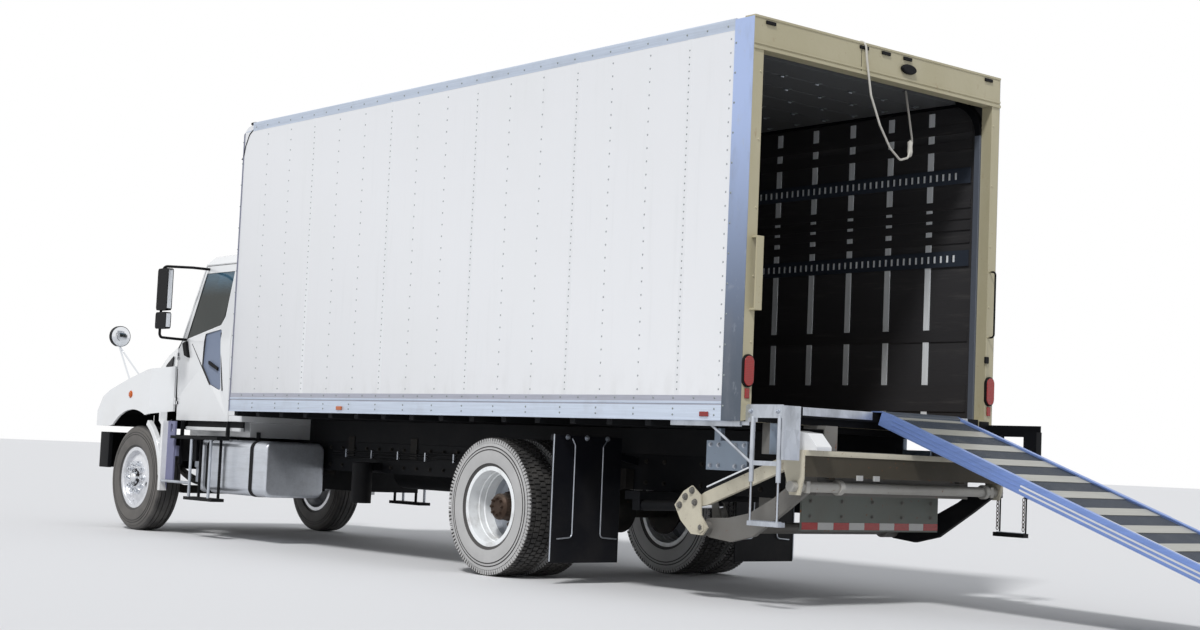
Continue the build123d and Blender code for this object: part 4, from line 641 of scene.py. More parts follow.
def pipe_tree():
    """A pipe along a route of points, with its corners rounded."""
    tree, entry = start_tree("pipes", Radius="Float", Bend="Float")
    line = add(tree, "GeometryNodeMeshToCurve", 0, {"Mesh": entry["Points"]})
    inputs = {"Count": 5, "Limit Radius": True, "Curve": line, "Radius": entry["Bend"]}
    rounded = add(tree, "GeometryNodeFilletCurve", 0, inputs, mode="POLY")
    section = add(tree, "GeometryNodeCurvePrimitiveCircle", 0, {"Resolution": 10, "Radius": entry["Radius"]})
    inputs = {"Fill Caps": True, "Curve": rounded, "Profile Curve": section}
    return hand_out(tree, entry, add(tree, "GeometryNodeCurveToMesh", 0, inputs))


rivets = rivet_tree()
nuts = nut_tree()
blocks = block_tree()
rods = rod_tree()
links = link_tree()
pipes = pipe_tree()


def grown(name, mesh, tree, finish, sizes):
    """The plain mesh that a tree makes from a mesh of points or lines."""
    seed = linked(name + "_seed", mesh)
    modifier = seed.modifiers.new("grow", "NODES")
    modifier.node_group = tree
    for socket in tree.interface.items_tree:
        if socket.in_out == "INPUT" and socket.name != "Points":
            modifier[socket.identifier] = finish if socket.name == "Finish" else sizes[socket.name]
    bpy.context.view_layer.update()
    result = bpy.data.meshes.new_from_object(seed.evaluated_get(bpy.context.evaluated_depsgraph_get()))
    bpy.data.objects.remove(seed)
    result.name = name
    return result


def repeated(name, tree, points, finish, body, bevel=0.0, **sizes):
    """Copies of a tree's shape at points given as (place, facing, along) and, if needed, a scale."""
    mesh = bpy.data.meshes.new(name + "_points")
    mesh.from_pydata([point[0] for point in points], [], [])
    full = [point if len(point) > 3 else (*point, even) for point in points]
    for column, label in ((1, "facing"), (2, "along"), (3, "size")):
        layer = mesh.attributes.new(label, "FLOAT_VECTOR", "POINT")
        layer.data.foreach_set("vector", [value for point in full for value in point[column]])
    return settle(name, grown(name, mesh, tree, finish, sizes), body, bevel)


def piped(name, routes, finish, body, radius, bend=0.03):
    """Pipes or wires along routes, joined in one mesh."""
    mesh = bpy.data.meshes.new(name + "_routes")
    points = []
    edges = []
    for route in routes:
        start = len(points)
        edges += [(start + number, start + number + 1) for number in range(len(route) - 1)]
        points += route
    mesh.from_pydata(points, edges, [])
    return settle(name, grown(name, mesh, pipes, finish, {"Radius": radius, "Bend": bend}), body)


# %% [markdown]
# Dressing a CAD piece
#
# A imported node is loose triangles. A merged copy of it can be bevelled, and its faces can carry
# more than one finish: the freight wall is white outside, lined inside and aluminium at its rails.

# %% Dressing CAD pieces
def dress(node, finishes, choose=None, bevel=0.003, smooth=35, segments=2):
    """A merged copy of a node. choose(centre, normal) gives the number of each face's finish."""
    mesh = nodes[node].data.copy()
    work = bmesh.new()
    work.from_mesh(mesh)
    bmesh.ops.remove_doubles(work, verts=work.verts, dist=1e-5)
    for face in work.faces:
        face.material_index = choose(face.calc_center_median(), face.normal) if choose else 0
    bmesh.ops.dissolve_limit(work, angle_limit=math.radians(0.4), verts=work.verts, edges=work.edges,
                             delimit={"NORMAL", "MATERIAL"})
    for layer in list(work.loops.layers.uv):
        work.loops.layers.uv.remove(layer)
    mesh.materials.clear()
    for finish in finishes:
        mesh.materials.append(finish)
    work.to_mesh(mesh)
    work.free()
    return settle(node + "_dressed", mesh, body_of_node[node], bevel, smooth, (node,), segments)


# %% [markdown]
# Stations
#
# Every piece below is placed from the CAD's own boxes, so it follows the model. `at` takes metres
# forward from the rear frame's plane, out from the middle and up from the road.

# %% Stations
body_length = 6.706
body_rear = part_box("box_front_wall")[1].x - body_length
half_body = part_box("rear_frame")[1].y
floor_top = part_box("box_floor")[1].z
sheet_out = half_body - 0.005
lining_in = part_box("box_floor")[1].y
names = {1: "left", -1: "right"}
outward = {1: Vector((0, 1, 0)), -1: Vector((0, -1, 0))}
backward = Vector((-1, 0, 0))
forward = Vector((1, 0, 0))
upward = Vector((0, 0, 1))
downward = Vector((0, 0, -1))


def at(x, y, z):
    """A point given forward from the rear frame's plane."""
    return Vector((body_rear + x, y, z))


def middle_of(node):
    """The centre of a node's box."""
    low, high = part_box(node)
    return (low + high) / 2


def side_box(side, x, y, z):
    """A cuboid on one side, from its two ends along each axis, with y counted outwards."""
    low, high = sorted((side * y[0], side * y[1]))
    return cuboid(at(x[0], low, z[0]), at(x[1], high, z[1]))


def side_prism(side, outline, y):
    """An outline in x and z on one side, with a thickness across, counted outwards."""
    return prism(outline, "y", *sorted((side * y[0], side * y[1])))


def from_rear(*outline):
    """An outline in x and z, given forward from the rear frame's plane."""
    return [(body_rear + x, z) for x, z in outline]


def routed(side, spots):
    """A route's points on one side, with y counted outwards."""
    return [at(x, side * y, z) for x, y, z in spots]


def outwards(spots, along=upward):
    """The same points on both sides, each facing out."""
    return [(at(x, side * y, z), outward[side], along) for side in names for x, y, z in spots]


rear_axle = middle_of("rear_tyre_left")
front_axle = middle_of("front_tyre_left")
axle_height = front_axle.z

# %% [markdown]
# The freight body's walls
#
# Outside they are white sheet between two aluminium rails, inside they are dark lining, darkened further as
# painted shade. The sheets are 48 in wide and lap at a row of closely set rivets. Two wider rows hold each
# to its posts.

# %% Walls of the freight body
rail_low_top = 1.37
rail_high_foot = 3.79
track_heights = (3.155, 2.53)
track_half = 0.06
seams = (5.43, 4.22, 3.03, 1.81, 0.62)
seam_pitch = 0.048
seam_wall = 0.0012
post_pitch = 0.093
stiffener_pitch = 0.4
# Painted shade: a darker lilac aluminium for the lower rail's upper band and its groove.
rail_band_shade = aluminium_finish("rail_band_shade", (0.42, 0.43, 0.50), 0.45, (0.12, 1, 6), 0.3, 0.15)
tie_track = dark_finish("tie_track", (0.045, 0.055, 0.075), 0.4, 0.1, 0.3)
rivet_grey = dark_finish("rivet_grey", (0.24, 0.27, 0.27), 0.45, 0.2, 0.3)
rivet_pale = dark_finish("rivet_pale", (0.36, 0.38, 0.39), 0.45, 0.2)


def wall_choice(side):
    def choose(centre, normal):
        out = normal.y * side
        if out < -0.5 and any(abs(centre.z - track) < track_half + 0.001 for track in track_heights):
            return 3
        if centre.z < rail_low_top + 0.001 or centre.z > rail_high_foot - 0.001:
            if abs(centre.y) < lining_in + 0.01:
                return 2
            # painted shade on the lower rail's upper band and in its groove
            return 4 if 1.331 < centre.z < 1.372 or 1.3055 < centre.z < 1.3145 else 1
        return 0 if out > 0.5 else 2
    return choose


def up_the_wall(stations, pitch):
    """Rivets in rows up the sheets of both walls."""
    count = int((rail_high_foot - rail_low_top - 0.08) / pitch)
    heights = [rail_low_top + 0.04 + number * pitch for number in range(count + 1)]
    return outwards([(x, sheet_out, z) for x in stations for z in heights], forward)


wall_finishes = (white_sheet, rail_aluminium, lining_and_inner_shade, tie_track, rail_band_shade)
for side, name in names.items():
    dress("box_side_" + name, wall_finishes, wall_choice(side), 0.002)
posts = [seam + step * stiffener_pitch for seam in seams for step in (1, 2)]
posts.append(seams[-1] - stiffener_pitch)
for name, stations, pitch, finish in (("sheet_rivets", seams, seam_pitch, rivet_grey),
                                      ("post_rivets", posts, post_pitch, rivet_pale)):
    repeated(name, rivets, up_the_wall(stations, pitch), finish, "root", Radius=0.0075, Height=0.0035)
laps = [side_box(side, (seam - 0.026, seam + 0.022), (sheet_out - 0.001, sheet_out + seam_wall),
                 (rail_low_top - 0.01, rail_high_foot + 0.01)) for side in names for seam in seams]
made_of("sheet_laps", laps, white_sheet, "root", 0.0006)

# columns: height, spacing along the rail, how far out from the sheets
rail_rows = ((1.352, 0.2, 0.0025), (1.240, 0.4, 0.003), (1.280, 0.4, 0.003), (3.822, 0.2, 0.0035))
spots = [(0.25 + number * pitch, sheet_out + out, z) for z, pitch, out in rail_rows
         for number in range(int((body_length - 0.45) / pitch) + 1)]
spots += [(x, half_body + out, 1.30 + number * 0.2) for x, out in ((0.165, 0.003), (body_length - 0.035, 0))
          for number in range(13)]
repeated("rail_rivets", rivets, outwards(spots, forward), rivet_grey, "root", Radius=0.008, Height=0.004)

# %% [markdown]
# Inside the freight body
#
# Silver posts stand between the slats, load-tie tracks run the whole length, and the roller door
# hangs under the roof on its hinges.

# %% Load space
post_first = 0.565
post_step = 0.402
slot_pitch = 0.0605
slot_count = int((body_length - 0.55) / slot_pitch)
inner_posts = [side_box(side, (post_first + number * post_step, post_first + number * post_step + 0.055),
                        (lining_in - 0.006, lining_in + 0.002), (floor_top, 3.66))
               for side in names for number in range(15)]
made_of("inner_posts", inner_posts, post_silver, "root", 0.0015)
slots = [(at(0.34 + number * slot_pitch, side * (lining_in - 0.0125), z), -outward[side], upward)
         for side in names for z in track_heights for number in range(slot_count)]
repeated("track_slots", blocks, slots, post_silver, "root", Size=(0.052, 0.017, 0.003))
slot_lips = [(point + forward * 0.013, face, along) for point, face, along in slots]
repeated("track_slot_lips", blocks, slot_lips, black_paint, "root", Size=(0.054, 0.006, 0.004))

door_low, door_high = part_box("rollup_door")
panel_count = 8
panel_pitch = (door_high.x - door_low.x + 0.008) / panel_count
hinges = [Vector((door_low.x + number * panel_pitch - 0.004, y, door_low.z))
          for number in range(1, panel_count) for y in (-1.08, -0.72, -0.36, 0.0, 0.36, 0.72, 1.08)]
leaves = [(spot + downward * 0.002, downward, forward) for spot in hinges]
repeated("door_hinge_leaves", blocks, leaves, rivet_grey, "root", Size=(0.060, 0.030, 0.003))
pins = [(spot + downward * 0.008, outward[1], forward) for spot in hinges]
repeated("door_hinge_pins", rods, pins, galvanised, "root", Radius=0.006, Length=0.03, Sides=8)
door_lining = dark_finish("door_lining", (0.12, 0.125, 0.13), 0.5, 0.2)
dress("rollup_door", (door_lining,), bevel=0.002)
track_grey = dark_finish("track_grey", (0.15, 0.17, 0.21), 0.42, 0.2, 0.4)
dress("door_tracks", (track_grey, black_paint), lambda centre, normal: 1 if centre.z > 3.36 else 0, 0.002)
dress("box_roof", (white_sheet, lining_and_inner_shade), lambda centre, normal: 0 if normal.z > 0.5 else 1, 0.002)
dress("box_floor", (laminated_floor, undercoat), lambda centre, normal: 0 if normal.z > 0.5 else 1, 0)
dress("long_sills", (undercoat,))
dress("cross_sills", (undercoat,))
dress("box_front_wall", (white_sheet, lining_and_inner_shade), lambda centre, normal: 1 if normal.x < -0.5 else 0)


def wrap_finish():
    """Galvanised wrap, blue as a painted sky reflection, and darker towards the bottom."""
    made, tree, surface = shader("wrap_with_sky_reflection", (0.42, 0.52, 0.78), 0.42, 0.35)
    tint(tree, surface, spread(tree, height(tree), 1.4, 3.5, 1.0, 0.0), (0.085, 0.105, 0.135))
    clouds(tree, surface, (0.20, 0.21, 0.24), (0.45, 0.75, 0, 0.5), 5, (1, 1, 0.35), 8)
    clouds(tree, surface, (0.42, 0.45, 0.50), (0.56, 0.72, 0, 0.35), 16, (1, 1, 0.5), 8, 0.7)
    return made


def trim_choice(centre, normal):
    if centre.x < body_rear + 1:
        return 0
    return 1 if centre.z < 3.545 else 2


# The wrap's blue is a painted sky reflection.
wrap_with_sky_reflection = wrap_finish()
post_lilac = aluminium_finish("post_lilac", (0.20, 0.21, 0.29), 0.42, (3, 3, 0.2), 0.3, 0.2)
dress("corner_trims", (wrap_with_sky_reflection, post_lilac, white_sheet), trim_choice, 0.0015)
cap = from_rear((6.508, 3.795), (6.508, 3.858), (6.58, 3.856), (6.635, 3.838), (6.675, 3.806),
                (6.699, 3.765), (6.704, 3.72), (6.660, 3.72))
made_of("front_top_cap", [prism(cap, "y", -1.283, 1.283)], white_sheet, "root", 0.012, 40)
# columns: forward, out, height
corner = ((6.515, 1.2915, 3.80), (6.575, 1.2915, 3.765), (6.635, 1.2915, 3.665), (6.668, 1.2915, 3.545),
          (6.700, 1.2875, 3.545))
for side, name in names.items():
    piped("corner_seam_" + name, [routed(side, corner)], black_plastic, "root", 0.0055, 0.06)
lamps = [side_box(side, (6.49, 6.57), (1.262 - 0.028, 1.262 + 0.028), (3.852, 3.878)) for side in names]
made_of("front_top_lamps", lamps, black_plastic, "root", 0.010)

# %% [markdown]
# The rear frame
#
# Cream paint, scuffed and chipped, with a joint in its header, worn steel plates on its sill, and
# its lamps. The roller door's rope hangs from the header.

# %% Rear frame, lamps and rope
def frame_choice(centre, normal):
    if centre.z < floor_top + 0.02 and centre.x < body_rear + 0.01 and abs(centre.y) < 1.1:
        return 1
    return 1 if centre.y < -1.1 and centre.x < body_rear - 0.012 else 0


def lamp_choice(centre, normal):
    if centre.x > body_rear + 4.0:
        return 1
    return 2 if centre.z > 3.5 else 0


dress("rear_frame", (cream_paint, black_paint), frame_choice, 0.005)
worn = [cuboid(at(-0.0725, low, 1.262), at(-0.002, high, 1.3195))
        for low, high in ((0.10, 0.79), (-0.93, -0.78))]
made_of("sill_worn_plates", worn, galvanised, "root", 0.004)
joint = cuboid(at(-0.0035, 0.198, 3.667), at(0.004, 0.247, 3.852))
made_of("header_joint", [joint], cream_paint, "root", 0.002)
joint_gap = cuboid(at(-0.0012, 0.194, 3.667), at(0.004, 0.251, 3.852))
made_of("header_joint_gap", [joint_gap], black_paint, "root")
turns = [2 * math.pi * step / 28 for step in range(28)]
lamp_outline = [(-0.235 + 0.078 * math.cos(angle), 3.757 + 0.036 * math.sin(angle)) for angle in turns]
header_lamp = prism(lamp_outline, "x", body_rear - 0.028, body_rear + 0.002)
made_of("header_lamp", [header_lamp], black_plastic, "root", 0.012)
post_switch = cuboid(at(-0.014, -1.232, 1.735), at(0.002, -1.188, 1.785))
made_of("post_switch", [post_switch], black_plastic, "root", 0.006)
dress("lamps", (red_lens, amber_lens, black_plastic), lamp_choice, 0.004, segments=3)

rope_white = shader("rope_white", (0.56, 0.54, 0.49), 0.8)[0]
rope = ((0.03, 0.235, 3.879), (-0.018, 0.232, 3.879), (-0.020, 0.215, 3.745), (-0.020, 0.163, 3.508),
        (-0.015, 0.055, 3.315), (0.01, -0.087, 3.177), (0.05, -0.244, 3.117), (0.12, -0.412, 3.162),
        (0.18, -0.521, 3.314), (0.32, -0.60, 3.702))
piped("pull_rope", [routed(1, rope)], rope_white, "root", 0.008, 0.08)
knot = [(-0.06, 0.0), (-0.05, 0.014), (-0.02, 0.020), (0.02, 0.017), (0.05, 0.020), (0.07, 0.0)]
made_of("pull_rope_knot", [turned(knot, at(0.15, -0.466, 3.235), "z", 20)], rope_white, "root", 0, 60)
# columns: width, height, rear face, front face
bezels = [prism(oval((side * 1.25, 1.531), width, tall), "x", body_rear + rear, body_rear + front)
          for side in names
          for width, tall, rear, front in ((0.104, 0.216, -0.014, 0.003), (0.094, 0.206, -0.017, -0.010))]
made_of("tail_lamp_bezels", bezels, black_plastic, "root", 0.003)
frame_bolts = [(at(0, side * 1.225, z), backward, upward)
               for side in names for z in (1.72, 2.15, 2.6, 3.05, 3.5)]
repeated("frame_bolts", rivets, frame_bolts, cream_paint, "root", Radius=0.010, Height=0.005)

# %% [markdown]
# The cab and the hood
#
# The skin is white outside and grey trim inside. A face is outside if it looks away from the middle
# of its shell. The scoop behind the door handle is blue-grey as painted shade, and the recessed skirt
# is blue-grey as painted shade and sky reflection.

# %% Cab and hood
cab_trim = dark_finish("cab_trim", (0.07, 0.07, 0.074), 0.62, 0.1)
# Painted shade for the door's scoop.
scoop_shade = dark_finish("scoop_shade", (0.20, 0.24, 0.33), 0.36, 0.1)
# Painted shade and sky reflection for the skirt's recessed panel.
skirt_shade_and_reflection = dark_finish("skirt_shade_and_reflection", (0.20, 0.205, 0.32), 0.40, 0.15)
cab_middle = at(7.45, 0, 1.9)
hood_middle = at(8.85, 0, 1.0)
half_fender = 1.25
tank_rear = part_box("fuel_tank")[0].x
strap_spans = ((0.215, 0.285), (1.035, 1.105))


def shell_choice(centre, normal):
    return 0 if normal.dot(centre - cab_middle) > 0 else 1


def door_choice(centre, normal):
    ahead_of_rear = centre.x - body_rear
    # the scoop's faces get painted shade
    if abs(abs(centre.y) - 1.08) < 0.001 and 1.38 < centre.z < 2.01 and 7.2 < ahead_of_rear < 7.62:
        return 2
    return shell_choice(centre, normal)


def hood_choice(centre, normal):
    if abs(centre.y) > half_fender - 0.023:
        return 0
    return 0 if normal.dot(centre - hood_middle) > 0 else 1


def spot_choice(centre, normal):
    return 1 if centre.z > 1.86 and normal.x > -0.9 else 0


def tank_choice(centre, normal):
    forward_of_tank = centre.x - tank_rear
    if centre.z > 0.944 or centre.y < 0.468:
        return 1
    return 1 if any(low < forward_of_tank < high for low, high in strap_spans) else 0


def step_choice(centre, normal):
    return 1 if 0.39 < centre.z < 0.925 and abs(centre.y) > 1.15 else 0


for node in ("cab_roof", "cab_rear_wall", "cab_front_frame", "cab_floor"):
    dress(node, (cab_white, cab_trim), shell_choice, 0.006)
for name in names.values():
    dress("door_" + name, (cab_white, cab_trim, scoop_shade), door_choice, 0.006)
    dress("door_glass_" + name, (cab_glass_with_sky,), bevel=0)
    dress("mirror_" + name, (black_plastic,), bevel=0.008)
dress("cab_glass", (cab_glass_with_sky,), bevel=0)
dress("hood", (cab_white, undercoat), hood_choice, 0.016, 25, 3)
# The skirt's recessed panel is blue-grey as painted shade and sky reflection.
dress("fender_skirts", (cab_white, skirt_shade_and_reflection), lambda centre, normal: int(abs(centre.y) < 1.197), 0.004)
# columns: node, finish, bevel
plain = (("grille", black_plastic, 0.003), ("headlamps", clear_lens, 0.012),
         ("front_bumper", black_paint, 0.008), ("dashboard", cab_trim, 0.02), ("seats", seat_cloth, 0.045),
         ("steering_wheel", black_plastic, 0.01), ("front_brackets", black_paint, 0.003),
         ("engine_block", cast_steel, 0.012), ("axles", cast_steel, 0.004),
         ("leaf_springs", cast_steel, 0.003), ("underframe_canisters", black_paint, 0.008),
         ("chassis_rails", black_paint, 0.003), ("crossmembers", black_paint, 0.003),
         ("knuckle_left", cast_steel, 0.006), ("knuckle_right", cast_steel, 0.006))
for node, finish, bevel in plain:
    dress(node, (finish,), bevel=bevel)
dress("fender_mirrors", (chrome, black_plastic), spot_choice, 0.004)

# %% [markdown]
# Fittings of the cab and the hood
#
# Some of them stand on curved skins. A ray sent from outside finds where it meets the skin. The
# fuel tank has dark straps, and the steps are bright where feet rub them.

# %% Spot mirrors, tank, steps, door furniture, sills, vents and lamps
def corners_box(node, keep):
    """The box of those corners of a node for which keep is true."""
    placed = nodes[node].matrix_world
    points = [placed @ corner.co for corner in nodes[node].data.vertices]
    points = [point for point in points if keep(point)]
    return (Vector([min(point[axis] for point in points) for axis in range(3)]),
            Vector([max(point[axis] for point in points) for axis in range(3)]))


def slab(corners, thickness):
    """A thin four-cornered plate: its corners, and the same pushed back along the plate's normal."""
    normal = (corners[1] - corners[0]).cross(corners[2] - corners[0]).normalized() * thickness
    points = [tuple(corner) for corner in corners] + [tuple(corner - normal) for corner in corners]
    return points, [(0, 1, 2, 3), (7, 6, 5, 4), (0, 4, 5, 1), (1, 5, 6, 2), (2, 6, 7, 3), (3, 7, 4, 0)]


def touch(node, start, way):
    """Where a line from a start point first meets a node's surface."""
    mesh = nodes[node].data
    corners = [nodes[node].matrix_world @ corner.co for corner in mesh.vertices]
    surface = BVHTree.FromPolygons(corners, [tuple(face.vertices) for face in mesh.polygons])
    return surface.ray_cast(start, way)[0] or start


# columns: how far forward of the disc's rear face, share of its radius
dome = ((0.002, 0.0), (0.002, 0.93), (-0.004, 0.93), (-0.016, 0.72), (-0.025, 0.42), (-0.029, 0.15),
        (-0.030, 0.0))
domes = []
for side in names:
    low, high = corners_box("fender_mirrors", lambda point: point.z > 1.93 and point.y * side > 0)
    radius = (high.y - low.y) / 2
    centre = Vector((low.x, (low.y + high.y) / 2, high.z - radius))
    domes.append(turned([(along, radius * share) for along, share in dome], centre, "x", 48))
made_of("spot_mirror_glass", domes, chrome, "hood", 0, 60)
dress("fuel_tank", (tank_aluminium, black_paint), tank_choice)
dress("cab_steps", (black_paint, galvanised), step_choice)

handle = from_rear((7.475, 1.690), (7.475, 1.655), (7.29, 1.590), (7.29, 1.622))
mirror_foot = from_rear((7.975, 1.865), (7.90, 1.885), (7.845, 1.720), (7.925, 1.745))
scoop_edge = ((7.809, 1.0985, 1.855), (7.60, 1.096, 1.634), (7.432, 1.092, 1.457))
grab_strip = ((7.262, 1.087, 1.955), (7.218, 1.089, 1.62), (7.185, 1.086, 1.40))
for side, name in names.items():
    body = "door_" + name
    parts = [side_prism(side, handle, (1.078, 1.100)), side_prism(side, mirror_foot, (1.085, 1.128))]
    made_of("door_furniture_" + name, parts, black_plastic, body, 0.006)
    # A black line along the scoop's front edge is painted shade in its crease.
    piped("scoop_crease_shade_" + name, [routed(side, scoop_edge)], black_plastic, body, 0.0045, 0.02)
    piped("grab_strip_" + name, [routed(side, grab_strip)], black_plastic, body, 0.010, 0.05)

# Sill panel under each door, and the battery's cover in the gap of the steps
sills = [side_box(side, (6.82, 7.90), (1.03, 1.05), (1.02, 1.112)) for side in names]
made_of("cab_sill_panels", sills, undercoat, "root", 0.003)
strips = [side_box(side, (6.80, 7.88), (1.05, 1.085), (1.018, 1.052)) for side in names]
made_of("cab_sill_strips", strips, cab_white, "root", 0.004)
backs = [side_box(side, (7.565, 7.90), (0.868, 0.880), (0.46, 1.02)) for side in names]
backs.append(side_box(1, (6.80, 7.565), (0.868, 0.880), (0.955, 1.02)))
made_of("step_back_panels", backs, undercoat, "root", 0.003)
bowl = [cuboid(at(7.60, 0.98, 0.66), at(7.70, 1.06, 0.80)),
        cuboid(at(7.615, 0.99, 0.52), at(7.685, 1.05, 0.66))]
made_of("filter_bowl", bowl, galvanised, "root", 0.008)

vents = []
bars = []
for side in names:
    corners = [touch("hood", at(x, side * 1.6, z), -outward[side]) + outward[side] * 0.003
               for x, z in ((8.285, 1.745), (8.60, 1.665), (8.615, 1.590), (8.315, 1.650))]
    vents.append(slab(corners, -0.01 * side))
    bars += [[corners[0].lerp(corners[3], share), corners[1].lerp(corners[2], share)]
             for share in (0.25, 0.5, 0.75)]
made_of("hood_vents", vents, black_plastic, "hood", 0.001)
piped("hood_vent_bars", bars, undercoat, "hood", 0.003, 0.0)
markers = outwards([(8.76, half_fender, 1.354)])
repeated("fender_markers", nuts, markers, amber_lens, "hood", Across=0.052, Height=0.012)

# The edge of the wheel arch, carried on from the hood to the skirt
arch = []
for reach, angles in ((0.612, range(4, 61, 4)), (0.668, range(60, 3, -4))):
    arch += [(front_axle.x - reach * math.cos(math.radians(angle)),
              axle_height + reach * math.sin(math.radians(angle))) for angle in angles]
arches = [side_prism(side, arch, (1.196, 1.249)) for side in names]
made_of("arch_edges", arches, cab_white, "root", 0.006, 30)

# Wipers and roof marker lamps
wipers = [[at(8.17, y, 1.955), at(8.08, y + 0.10, 2.12), at(8.02, y + 0.28, 2.28)] for y in (0.55, -0.25)]
piped("wipers", wipers, black_plastic, "root", 0.006)
roof_lamps = [(at(7.62, y, 2.733), upward, forward) for y in (-0.62, -0.18, 0.0, 0.18, 0.62)]
repeated("roof_lamps", blocks, roof_lamps, amber_lens, "root", Size=(0.06, 0.11, 0.05), bevel=0.01)

# %% [markdown]
# Tyres and rims
#
# A carcass is one profile turned about the axle. The front tyres have ribs, which the profile
# holds. The rear ones have lugs, each a small block that stands on a lower crown.

# %% Tyres
# columns: half the width, radius
flank = [(0.104, 0.288), (0.112, 0.298), (0.121, 0.312), (0.124, 0.324), (0.1320, 0.328), (0.1360, 0.350),
         (0.1390, 0.375), (0.1398, 0.398), (0.1385, 0.424), (0.1335, 0.4245), (0.1335, 0.4330),
         (0.1375, 0.4335), (0.1360, 0.4470), (0.1310, 0.4475), (0.1310, 0.4560), (0.1345, 0.4565),
         (0.1320, 0.4780), (0.1265, 0.4785), (0.1240, 0.492), (0.1160, 0.505)]
plain_crown = [(0.112, 0.506), (0.06, 0.509), (0.0, 0.510)]
ribbed_crown = [(0.104, 0.5175), (0.079, 0.5205), (0.078, 0.5095), (0.070, 0.5095), (0.069, 0.5210),
                (0.035, 0.5205), (0.034, 0.5095), (0.026, 0.5095), (0.025, 0.5210), (0.0, 0.5222)]
front_middle = front_axle.y
twin_middles = (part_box("rear_tyre_left")[1].y - 0.14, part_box("rear_tyre_left")[0].y + 0.14)


def carcass(axle, y, crown):
    """A tyre's profile and its mirror, turned about an axle."""
    half = flank + crown
    mirrored = [(-along, radius) for along, radius in reversed(half[:-1])]
    return turned(half + mirrored, Vector((axle.x, y, axle_height)), steps=96)


def sidewall_finish(name, dust_and_shade, amount):
    made = tyre_finish()
    made.name = name
    share = (0.3, 0.7, amount, min(amount + 0.2, 1.0))
    clouds(made.node_tree, made.node_tree.nodes["Principled BSDF"], dust_and_shade, share, 3)
    return made


def tyre_choice(axle):
    def choose(centre, normal):
        reach = math.hypot(centre.x - axle.x, centre.z - axle.z)
        # Faces in the flank's grooves, on their walls and next to the rim get finish 2, painted shade.
        if reach > 0.5065 or abs(normal.y) < 0.15 and reach > 0.33:
            return 2 if 0.42 < reach < 0.48 else 0
        if reach < 0.326 or 0.4245 < reach < 0.4332 or 0.4475 < reach < 0.4562:
            return 2
        return 1
    return choose


def ring(axle, y, radius, count, phase=0.0):
    """Points round an axle, with the way each faces out."""
    points = []
    for number in range(count):
        angle = 2 * math.pi * (number + phase) / count
        out = Vector((math.cos(angle), 0, math.sin(angle)))
        points.append((Vector((axle.x, y, axle.z)) + out * radius, out))
    return points


front_side = sidewall_finish("front_sidewall", (0.135, 0.125, 0.115), 0.55)
rear_side = sidewall_finish("rear_sidewall", (0.50, 0.495, 0.49), 0.85)
# Painted shade for the flank's grooves and the band next to the rim.
groove_shade = sidewall_finish("groove_shade", (0.060, 0.057, 0.055), 0.8)
# columns: piece, finish, radius, how many round, block, then offset across and phase of each row
tread = (("shoulder_lugs_", tyre_rubber, 0.5085, 96, (0.040, 0.021, 0.024), ((0.106, 0.0), (-0.106, 0.5))),
         ("shoulder_fins_", rear_side, 0.4975, 112, (0.013, 0.013, 0.034), ((0.1245, 0.0), (-0.1245, 0.5))),
         ("tread_blocks_", tyre_rubber, 0.5125, 72, (0.042, 0.034, 0.020),
          ((0.052, 0.25), (0.0, 0.75), (-0.052, 0.25))))
# columns: end, axle, middles of its tyres, crown, flank's finish
ends = (("front", front_axle, (front_middle,), ribbed_crown, front_side),
        ("rear", rear_axle, twin_middles, plain_crown, rear_side))
for side, name in names.items():
    for end, axle, middles, crown, sidewall in ends:
        node = end + "_tyre_" + name
        body = "wheel_" + end + "_" + name
        shapes = [carcass(axle, side * middle, crown) for middle in middles]
        finishes = (tyre_rubber, sidewall, groove_shade)
        made_of(node + "_lathed", shapes, finishes, body, 0, 28, (node,), tyre_choice(axle))
    for piece, finish, radius, count, size, across in tread:
        lugs = [(point, out, outward[1]) for middle in twin_middles for offset, phase in across
                for point, out in ring(rear_axle, side * (middle + offset), radius, count, phase)]
        repeated(piece + name, blocks, lugs, finish, "wheel_rear_" + name, Size=size)

# %% [markdown]
# Hubs and wheel nuts
#
# The front rims are bright and have a domed cap in the middle. The rear ones are white, with brown
# nuts and the drive shaft's flange.

# %% Rims, nuts and hubs
rim_silver = aluminium_finish("rim_silver", (0.76, 0.77, 0.80), 0.26, even, 0.6, 0.12)
rim_grey = dark_finish("rim_grey", (0.42, 0.45, 0.50), 0.45, 0.2)
bolt_ring = 0.143
cap_face = front_middle + 0.128


def rim_choice(axle, side, lugged):
    def choose(centre, normal):
        reach = math.hypot(centre.x - axle.x, centre.z - axle.z)
        if reach < 0.088:
            return 2
        if lugged and reach < 0.102 and normal.y * side < 0.9:
            return 2
        if lugged and reach < 0.145 and abs(centre.y) > 0.93:
            return 2
        if lugged and reach < 0.25 and abs(centre.y) < 1.0:
            return 1
        return 0
    return choose


def studded(piece, side, end, out_to, radius, count, finish, across, tall):
    """A ring of nuts that face out from one side's wheel."""
    axle = front_axle if end == "front" else rear_axle
    points = [(point, outward[side], out) for point, out in ring(axle, side * out_to, radius, count)]
    body = "wheel_" + end + "_" + names[side]
    repeated(piece + "_" + names[side], nuts, points, finish, body, Across=across, Height=tall)


